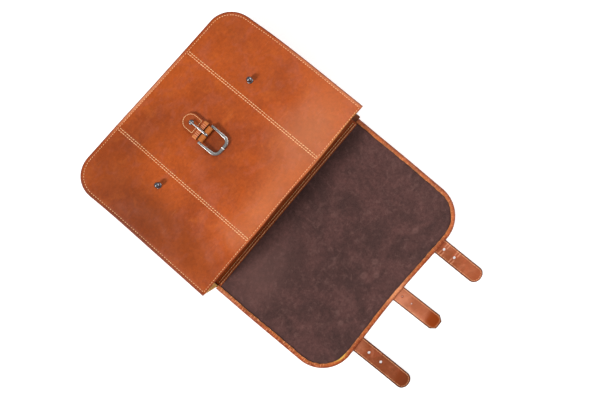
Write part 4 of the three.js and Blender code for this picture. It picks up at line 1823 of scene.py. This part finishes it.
    def sew(self, seam: Seam, across: Array, along: Array) -> None:
        """Adds one line on the strap's upper surface to a seam.

        Args:
            seam: The seam.
            across: Distances from the middle line.
            along: Distances past the flap's edge.
        """
        points = self.place(across, along, self.top(across, along))
        seam.add(points, upward(len(points)))

    def build(self) -> None:
        """Builds the strap and hands its pieces over."""
        hand_over(self.leather(), "strap_leather", self.node)
        hand_over(self.stitching())


@dataclass
class Seat:
    """A place on the front, square to its surface."""

    body: Body
    x: float
    down: float

    def matrix(self) -> Matrix:
        """Where the seat is.

        Returns:
            Its place in metres, Z out of the front.
        """
        x, down = np.array([self.x]), np.array([self.down])
        step = 1.0
        plain = self.body.front_plain
        slope_x = float((plain(x + step, down) - plain(x - step, down))[0]) / (2 * step)
        slope_y = float((plain(x, down + step) - plain(x, down - step))[0]) / (2 * step)
        normal = Vector((-slope_x, -slope_y, 1)).normalized()
        turn = Vector((0, 0, 1)).rotation_difference(normal).to_matrix().to_4x4()
        across, along = self.body.place(x, down)
        z = float(plain(x, down)[0]) + self.body.panel / 2
        spot = Vector((float(across[0]), float(along[0]) + MOUTH_Y, z))
        return Matrix.Translation(spot * MM) @ turn

    def points(self, local: Array) -> Array:
        """Moves points from the seat's own frame to the bag's, in mm with y from the mouth.

        Args:
            local: Points in mm, Z out of the front.

        Returns:
            The moved points.
        """
        matrix = np.array(self.matrix())
        moved = local @ matrix[:3, :3].T + matrix[:3, 3] / MM
        return moved - MOUTH


@dataclass
class Buckle:
    """The buckle: chape, keeper and rivet on the front, frame and prong that swing on the bar."""

    finishes: Finishes
    seat: Seat
    bar_height: float = 6.2
    bar: float = 1.8
    frame_half: float = 18.5
    frame_root: float = 3.0
    frame_end: float = 5.2
    frame_thick: float = 3.6
    frame_reach: float = 36.5
    frame_corner: float = 12.0
    heel: float = 2.0
    prong_reach: float = 33.5
    prong_eye: float = 3.9
    prong_lean: float = 5.5
    loop_half: float = 13.8
    chape_half: float = 14.5
    chape_reach: float = 47.0
    chape_cross: float = 19.6
    chape_tail: float = 24.0
    chape_thick: float = 1.6
    chape_seam: float = 2.3
    slot_width: float = 4.6
    keeper_thick: float = 1.2
    keeper_from: float = 7.8
    keeper_to: float = 15.6
    keeper_half: float = 16.2
    keeper_rib: float = 3.1
    rib_height: float = 0.16
    rivet_at: float = 31.2
    rivet: float = 4.0
    rivet_foot: float = 0.45
    gap: float = 0.3

    def route(self) -> Array:
        """The chape's course: under, round the bar and back on top to the round end.

        Returns:
            A row for each step: distance from the bar, height and half width.
        """
        low = self.gap + self.chape_thick / 2
        high = 2 * self.gap + 1.5 * self.chape_thick
        loop = self.bar + self.gap + self.chape_thick / 2
        rows = [
            (self.chape_tail, low, self.loop_half),
            (10, low, self.loop_half),
            (5.4, low + 0.3, self.loop_half),
            (2.2, self.bar_height - loop - 0.6, self.loop_half),
        ]
        for degrees in np.linspace(-100, -320, 23):
            angle = math.radians(degrees)
            rows.append((loop * math.cos(angle), self.bar_height + loop * math.sin(angle), self.loop_half))
        rows += [
            (4.4, high + 2.4, self.loop_half),
            (5.4, high + 1.0, self.loop_half),
            (self.keeper_from - 1.2, high, self.chape_half),
            (self.keeper_from, high, self.chape_half),
        ]
        bend = self.chape_reach - self.chape_half
        rows += [(y, high, self.chape_half) for y in np.linspace(bend / 3, bend, 14)[1:]]
        for angle in np.linspace(0, math.radians(84), 18)[1:]:
            rows.append((bend + self.chape_half * math.sin(angle), high, self.chape_half * math.cos(angle)))
        return np.array(rows)

    def chape(self) -> Piece:
        """Makes the folded tab and cuts the prong's slot.

        Returns:
            The chape.
        """
        route = self.route()
        share = np.linspace(1, -1, 21)
        x = route[:, 2:] * share[None]
        y = np.broadcast_to(route[:, :1], x.shape)
        z = np.broadcast_to(route[:, 1:2], x.shape).copy()
        upper = (np.arange(len(route)) > 30)[:, None]
        inside = np.minimum(route[:, 2:] - np.abs(x), self.chape_reach - y)
        z -= upper * 0.25 * bell(inside - self.chape_seam, 0.7)
        z -= upper * 0.25 * bell(y - self.chape_cross, 0.7) * smoothstep(inside, 1.5, 3)
        points = self.seat.points(np.stack([x, y, z], axis=2).reshape(-1, 3)).reshape(*x.shape, 3)
        lit_fold = 1 - smoothstep(y, 4.0, 8.0)
        under = (np.arange(len(route)) > 27)[:, None] * bell(y - self.keeper_from + 0.7, 0.8)
        # Painted light on the chape: its fold round the bar is painted lighter and more orange as if lit, and
        # a painted shadow line runs where the keeper's edge lies over it.
        notes = {
            "edge": inside + 4,
            "tone": 0.28 * lit_fold - 0.2 - 1.6 * under,
            "oil_and_sheen": 0.35 * lit_fold * (1 - under),
        }
        tab = HideSheet(
            "chape_hide", points, self.chape_thick, self.finishes.grain_up, notes, rounding=0.35, flip=True
        ).make()
        deselect()
        bpy.ops.mesh.primitive_cube_add(size=1.0)
        slot = bpy.context.object
        loop = self.bar + self.gap + self.chape_thick / 2
        front, rear = -(loop + self.chape_thick), self.keeper_from - 1.5
        slot.scale = (self.slot_width * MM, (rear - front) * MM, 0.03)
        slot.location = (0, (front + rear) / 2 * MM, self.bar_height * MM)
        apply_place()
        set_place(slot, self.seat.matrix())
        unite(tab, slot, Joint.CUT)
        polish(tab, SHARP)
        return tab

    def stitching(self) -> Piece:
        """Sews the chape's round end and the line across it.

        Returns:
            The stitching.
        """
        thread = self.finishes.thread
        seam = Seam("chape_stitching", thread, pitch=3.2, length=3.0, gauge=1.0, slant=4.0, seed=45)
        top = 2 * self.gap + 2 * self.chape_thick - 0.1
        radius = self.chape_half - self.chape_seam
        bend = self.chape_reach - self.chape_half
        angle = np.linspace(0, math.pi, 80)
        leg = np.linspace(self.chape_cross, bend, 20)
        x = np.concatenate([np.full(20, radius), radius * np.cos(angle), np.full(20, -radius)])
        y = np.concatenate([leg, bend + radius * np.sin(angle), leg[::-1]])
        across = np.linspace(-radius, radius, 40)
        up = np.array([0.0, 0.0, 1.0])
        turn = np.array(self.seat.matrix())[:3, :3]
        for line_x, line_y in ((x, y), (across, np.full(40, self.chape_cross))):
            points = self.seat.points(level(line_x, line_y, top))
            seam.add(points, np.tile(turn @ up, (len(points), 1)))
        return seam.make()

    def keeper(self) -> Piece:
        """Makes the ribbed loop over the chape.

        Returns:
            The keeper.
        """
        top = 3 * self.gap + 2 * self.chape_thick + self.keeper_thick / 2
        half = [
            (self.keeper_half, self.gap),
            (self.keeper_half, top - 2),
            (self.keeper_half - 0.3, top - 0.5),
            (self.keeper_half - 1, top),
            (0, top),
        ]
        arch = np.array(half + [(-x, z) for x, z in reversed(half[:-1])])
        arch = soften(arch, 0.3, 1.8)
        over = smoothstep(arch[:, 1], top - 1.2, top - 0.2)[:, None]
        share = np.linspace(-1, 1, 17)
        y = self.keeper_from + (self.keeper_to - self.keeper_from) * (share + 1) / 2
        crown = 0.2 * (1 - np.abs(share) ** 3)
        ribbed = 1 - smoothstep(np.abs(arch[:, :1]), self.keeper_half - 5, self.keeper_half - 2.5)
        rib = self.rib_height * np.sin(arch[:, :1] * 2 * math.pi / self.keeper_rib)
        rib = rib * ribbed * (1 - share**6)[None]
        x = np.broadcast_to(arch[:, :1], (len(arch), len(y)))
        z = arch[:, 1:] + over * (crown[None] + rib)
        local = np.stack([x, np.broadcast_to(y[None], x.shape), z], axis=2)
        points = self.seat.points(local.reshape(-1, 3)).reshape(local.shape)
        inside = np.broadcast_to(np.minimum(y - self.keeper_from, self.keeper_to - y)[None], x.shape)
        # The keeper is paler all over; on its top the rib crests are painted lighter and the grooves darker:
        # painted highlight and shade on the ribs.
        notes = {
            "edge": inside + 4,
            "tone": 0.5 + over * (3.0 * rib - 0.3),
            "oil_and_sheen": np.broadcast_to(0.4 * (1 - ribbed), x.shape),
        }
        materials = self.finishes.grain_up
        return HideSheet("keeper_hide", points, self.keeper_thick, materials, notes, rounding=0.3).make()

    def rivet_head(self) -> Piece:
        """Makes the domed rivet head in the chape's round end.

        Returns:
            The rivet head.
        """
        deselect()
        bpy.ops.mesh.primitive_uv_sphere_add(segments=36, ring_count=18, radius=self.rivet * MM)
        head = bpy.context.object
        head.name = "rivet_head"
        head.scale = (1, 1, 0.34)
        bpy.ops.object.transform_apply(location=False, rotation=False, scale=True)
        edit_all()
        bpy.ops.mesh.bisect(plane_co=(0, 0, 0), plane_no=(0, 0, 1), clear_inner=True, use_fill=True)
        bpy.ops.mesh.extrude_region_move(TRANSFORM_OT_translate={"value": (0, 0, -self.rivet_foot * MM)})
        leave_edit()
        dress(head, [self.finishes.gunmetal])
        height = 3 * self.gap + 2 * self.chape_thick + self.rivet_foot
        set_place(head, self.seat.matrix() @ Matrix.Translation(Vector((0, self.rivet_at, height)) * MM))
        polish(head, 40.0)
        return head

    def frame_loop(self) -> Piece:
        """Bends the frame from a flat bar with soft corners, and sets the round bar across it.

        Returns:
            The frame.
        """
        rim = self.frame_half
        bend_x = rim - self.frame_corner
        bend_y = self.frame_corner - self.frame_reach
        deselect()
        bpy.ops.mesh.primitive_plane_add(size=MM, rotation=(math.pi / 2, 0, 0))
        loop = bpy.context.object
        loop.name = "buckle_loop"
        loop.scale = (self.frame_root, self.frame_thick, 1)
        loop.location = Vector((self.frame_root / 2 - rim, self.heel, 0)) * MM
        apply_place()
        edit_all()
        bpy.ops.mesh.bevel(offset=0.95 * MM, segments=4, affect="VERTICES")
        bpy.ops.mesh.select_all(action="SELECT")
        self.draw(Vector((0, bend_y - self.heel, 0)), self.frame_end / self.frame_root, -rim)
        self.turn(Vector((-bend_x, bend_y, 0)))
        self.draw(Vector((2 * bend_x, 0, 0)))
        self.turn(Vector((bend_x, bend_y, 0)))
        self.draw(Vector((0, self.heel - bend_y, 0)), self.frame_root / self.frame_end, rim)
        bpy.ops.mesh.select_all(action="SELECT")
        bpy.ops.mesh.remove_doubles(threshold=1e-7)
        bpy.ops.mesh.normals_make_consistent(inside=False)
        leave_edit()
        ease_edges(loop, 0.7, 60.0, 3)
        deselect()
        length = (2 * self.frame_half - self.frame_root) * MM
        bpy.ops.mesh.primitive_cylinder_add(
            vertices=24, radius=self.bar * MM, depth=length, rotation=(0, math.pi / 2, 0)
        )
        unite(loop, bpy.context.object)
        deselect()
        rest = Vector((0, self.frame_end / 2 - self.frame_reach, self.frame_thick / 2 + 0.35)) * MM
        bpy.ops.mesh.primitive_cylinder_add(
            vertices=24, radius=1.15 * MM, depth=0.02, rotation=(math.pi / 2, 0, 0), location=rest
        )
        unite(loop, bpy.context.object, Joint.CUT)
        dress(loop, [self.finishes.nickel])
        lean = math.asin((self.bar_height - self.gap - self.frame_thick / 2) / self.frame_reach)
        set_place(loop, self.seat.matrix() @ self.at_bar(lean))
        polish(loop, 40.0)
        return loop

    @staticmethod
    def draw(way: Vector, wider: float = 1.0, rim: float = 0.0) -> None:
        """Draws the selected end of the bar on along a straight way.

        Args:
            way: The way.
            wider: How much wider the end becomes.
            rim: X of the side that stays in line.
        """
        bpy.ops.mesh.extrude_region_move(TRANSFORM_OT_translate={"value": way * MM})
        bpy.ops.transform.resize(value=(wider, 1, 1), center_override=(rim * MM, 0, 0))

    @staticmethod
    def turn(centre: Vector) -> None:
        """Bends the selected end of the bar a quarter turn round a centre, given in mm."""
        bpy.ops.mesh.spin(steps=10, angle=-math.pi / 2, center=centre * MM, axis=(0, 0, 1))

    def at_bar(self, lean: float) -> Matrix:
        """Place of the bar over the seat, with a lean about it in radians."""
        return Matrix.Translation((0, 0, self.bar_height * MM)) @ Matrix.Rotation(lean, 4, "X")

    def prong(self) -> Piece:
        """Makes the prong: an eye round the bar and a tapered shank.

        Returns:
            The prong.
        """
        clear = self.bar + self.gap
        wire = (self.prong_eye - clear) / 2
        deselect()
        bpy.ops.mesh.primitive_torus_add(
            major_radius=(clear + wire) * MM, minor_radius=wire * MM, major_segments=36, minor_segments=14,
            rotation=(0, math.pi / 2, 0),
        )
        prong = bpy.context.object
        prong.name = "buckle_pin"
        prong.scale = (1, 1, 1.6 / wire)
        apply_place()
        deselect()
        start = clear + 0.3
        length = self.prong_reach - start - 0.9
        bpy.ops.mesh.primitive_cone_add(
            vertices=20, radius1=1.25 * MM, radius2=0.95 * MM, depth=length * MM,
            rotation=(-math.pi / 2, 0, 0), location=(0, (start + length / 2) * MM, 0),
        )
        shank = bpy.context.object
        shank.scale = (1.25, 0.92, 1)
        apply_place()
        tip_y = (start + length) * MM
        edit_faces(shank, lambda face: face.center.y > tip_y - 1e-5 and face.normal.y > 0.9)
        for step, size in ((0.45, 0.86), (0.3, 0.72), (0.15, 0.5)):
            bpy.ops.mesh.extrude_region_move(TRANSFORM_OT_translate={"value": (0, step * MM, 0)})
            bpy.ops.transform.resize(value=(size, 1, size))
        leave_edit()
        unite(prong, shank)
        dress(prong, [self.finishes.nickel])
        set_place(prong, self.seat.matrix() @ self.at_bar(math.radians(self.prong_lean)))
        polish(prong, 40.0)
        return prong

    def build(self) -> None:
        """Builds the buckle and hands its pieces over."""
        hand_over(self.chape(), "tan_leather", "buckle_chape")
        hand_over(self.stitching())
        hand_over(self.keeper(), "tan_leather", "buckle_keeper")
        hand_over(self.rivet_head(), "gunmetal", "chape_rivet")
        hand_over(self.frame_loop(), "nickel", "buckle_frame", body="buckle")
        hand_over(self.prong(), "nickel", "buckle_prong", body="prong")


@dataclass
class Stud:
    """One ball stud: base, neck and ball."""

    finishes: Finishes
    node: str
    seat: Seat
    base: float = 5.0
    base_height: float = 1.3
    neck: float = 2.5
    ball: float = 4.7
    ball_height: float = 7.4
    gap: float = 0.3

    def build(self) -> None:
        """Turns the stud and hands it over."""
        deselect()
        bpy.ops.mesh.primitive_cylinder_add(
            vertices=40, radius=self.base * MM, depth=self.base_height * MM,
            location=(0, 0, self.base_height / 2 * MM),
        )
        stud = bpy.context.object
        stud.name = self.node + "_turned"
        apply_place()
        edit_faces(stud, lambda face: face.normal.z > 0.9)
        bpy.ops.mesh.inset(thickness=(self.base - self.neck - 0.4) * MM, depth=0.35 * MM)
        bpy.ops.mesh.inset(thickness=0.4 * MM, depth=0.3 * MM)
        bpy.ops.mesh.extrude_region_move(TRANSFORM_OT_translate={"value": (0, 0, 2.4 * MM)})
        leave_edit()
        ease_edges(stud, 0.3, 50.0, 2)
        deselect()
        bpy.ops.mesh.primitive_uv_sphere_add(
            segments=40, ring_count=24, radius=self.ball * MM, location=(0, 0, self.ball_height * MM)
        )
        unite(stud, bpy.context.object)
        dress(stud, [self.finishes.gunmetal])
        set_place(stud, self.seat.matrix() @ Matrix.Translation((0, 0, self.gap * MM)))
        polish(stud, 40.0)
        hand_over(stud, "gunmetal", self.node)


@dataclass
class Studio:
    """Pale floor, soft lights and the camera straight above."""

    floor_half: float = 40.0
    camera_height: float = 1.0
    nadir: tuple[float, float] = (18.6, -19.2)
    lens: float = 34.9
    roll: float = -49.9
    key_power: float = 2.92
    key_spread: float = 14.0
    key_way: Point = (0.77, -0.22, -0.6)
    surround: float = 0.42

    def floor(self) -> None:
        """Lays the floor."""
        deselect()
        bpy.ops.mesh.primitive_plane_add(size=2 * self.floor_half, location=(0, 0, -0.0004))
        floor = bpy.context.object
        floor.name = "floor"
        board = Palette("pale_floor")
        tint = board.blend(board.noise(3, 2), (0.84, 0.84, 0.84), (0.86, 0.86, 0.86))
        board.shader.inputs["Emission Color"].default_value = WHITE
        pale = board.finish(tint, 0.9, None, Specular_IOR_Level=0.1, Emission_Strength=0.5)
        dress(floor, [pale])

    @staticmethod
    def lamp(name: str, place: Point, aim: Point, size: float, power: float) -> Piece:
        """Hangs one square soft light.

        Args:
            name: Name of the light.
            place: Where it hangs, in metres.
            aim: The point it faces, in metres.
            size: Side of the square, in metres.
            power: Power in watts.

        Returns:
            The light.
        """
        light = bpy.data.lights.new(name, "AREA")
        light.size = size
        light.energy = power
        lamp = bpy.data.objects.new(name, light)
        lamp.location = place
        lamp.rotation_euler = (Vector(aim) - Vector(place)).to_track_quat("-Z", "Y").to_euler()
        bpy.context.scene.collection.objects.link(lamp)
        return lamp

    def lights(self) -> None:
        """Sets the key light low on the left, soft lights, one that only shines on metal, and a surround."""
        sun = bpy.data.lights.new("key", "SUN")
        sun.energy = self.key_power
        sun.angle = math.radians(self.key_spread)
        key = bpy.data.objects.new("key", sun)
        key.rotation_euler = Vector(self.key_way).to_track_quat("-Z", "Y").to_euler()
        bpy.context.scene.collection.objects.link(key)
        self.lamp("above", (0.9, 0.5, 2.4), (0.05, 0.1, 0), 1.0, 10)
        self.lamp("fill", (0.7, -0.9, 0.55), (-0.1, 0.04, 0.04), 0.9, 6)
        shine = self.lamp("shine", (1.5, -0.25, 0.95), (0, 0.15, 0.09), 1.1, 24)
        shine.visible_diffuse = False
        world = bpy.data.worlds.new("surround")
        world.use_nodes = True
        backdrop = world.node_tree.nodes["Background"]
        backdrop.inputs["Color"].default_value = WHITE
        backdrop.inputs["Strength"].default_value = self.surround
        bpy.context.scene.world = world
        bpy.context.scene.view_settings.view_transform = "Standard"

    def camera(self) -> None:
        """Hangs the camera over the mouth, looking straight down."""
        lens = bpy.data.cameras.new("camera")
        lens.sensor_width = 36.0
        lens.lens = self.lens
        view = bpy.data.objects.new("camera", lens)
        view.location = (self.nadir[0] * MM, (self.nadir[1] + MOUTH_Y) * MM, self.camera_height)
        view.rotation_euler = (0, 0, math.radians(self.roll))
        bpy.context.scene.collection.objects.link(view)
        bpy.context.scene.camera = view

    def build(self) -> None:
        """Builds the whole stage."""
        self.floor()
        self.lights()
        self.camera()


def main() -> None:
    """Builds every piece in order."""
    logging.basicConfig(level=logging.INFO, format="%(name)s %(message)s")
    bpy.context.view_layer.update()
    finishes = Finishes()
    body = Body(finishes)
    body.build()
    Flap(finishes).build()
    Strap(
        finishes, "strap_left", x=-105.8, shown=109.0, swing=1.3, holes=(23.4, 49.2), bores=(5.0, 5.0),
        tip=Tip.ROUND, tone=-0.1, oil_and_sheen=0.6,
        wear_and_shade=((0, 5, 12, 10, 0.22), (0, 80, 20, 30, -0.06), (0, 106, 16, 13, -0.3)),
    ).build()
    Strap(
        finishes, "strap_centre", x=4.9, shown=83.9, swing=2.0, holes=(5.2, 25.2), bores=(1.6, 2.6),
        tip=Tip.CLIPPED, tip_length=9.0, tone=0.05, oil_and_sheen=0.98,
        wear_and_shade=(
            # the second row paints the shadow inside the first hole
            (-4, 6, 9, 9, 0.32), (0, 5.2, 1.5, 1.5, -0.6), (-11, 40, 2.2, 16, 0.22), (0, 80, 16, 10, -0.12),
        ),
    ).build()
    Strap(
        finishes, "strap_right", x=112.9, shown=87.3, swing=1.0, holes=(8, 30.5), bores=(5.0, 5.0),
        tip=Tip.ROUND, tone=-0.04, creased=0.55, oiled=15.0, oil_and_sheen=0.3,
    ).build()
    buckle_place, *stud_places = body.fittings()
    for node, place in zip(("stud_left", "stud_right"), stud_places):
        Stud(finishes, node, Seat(body, *place)).build()
    Buckle(finishes, Seat(body, *buckle_place)).build()
    Studio().build()


if __name__ == "__main__":
    main()
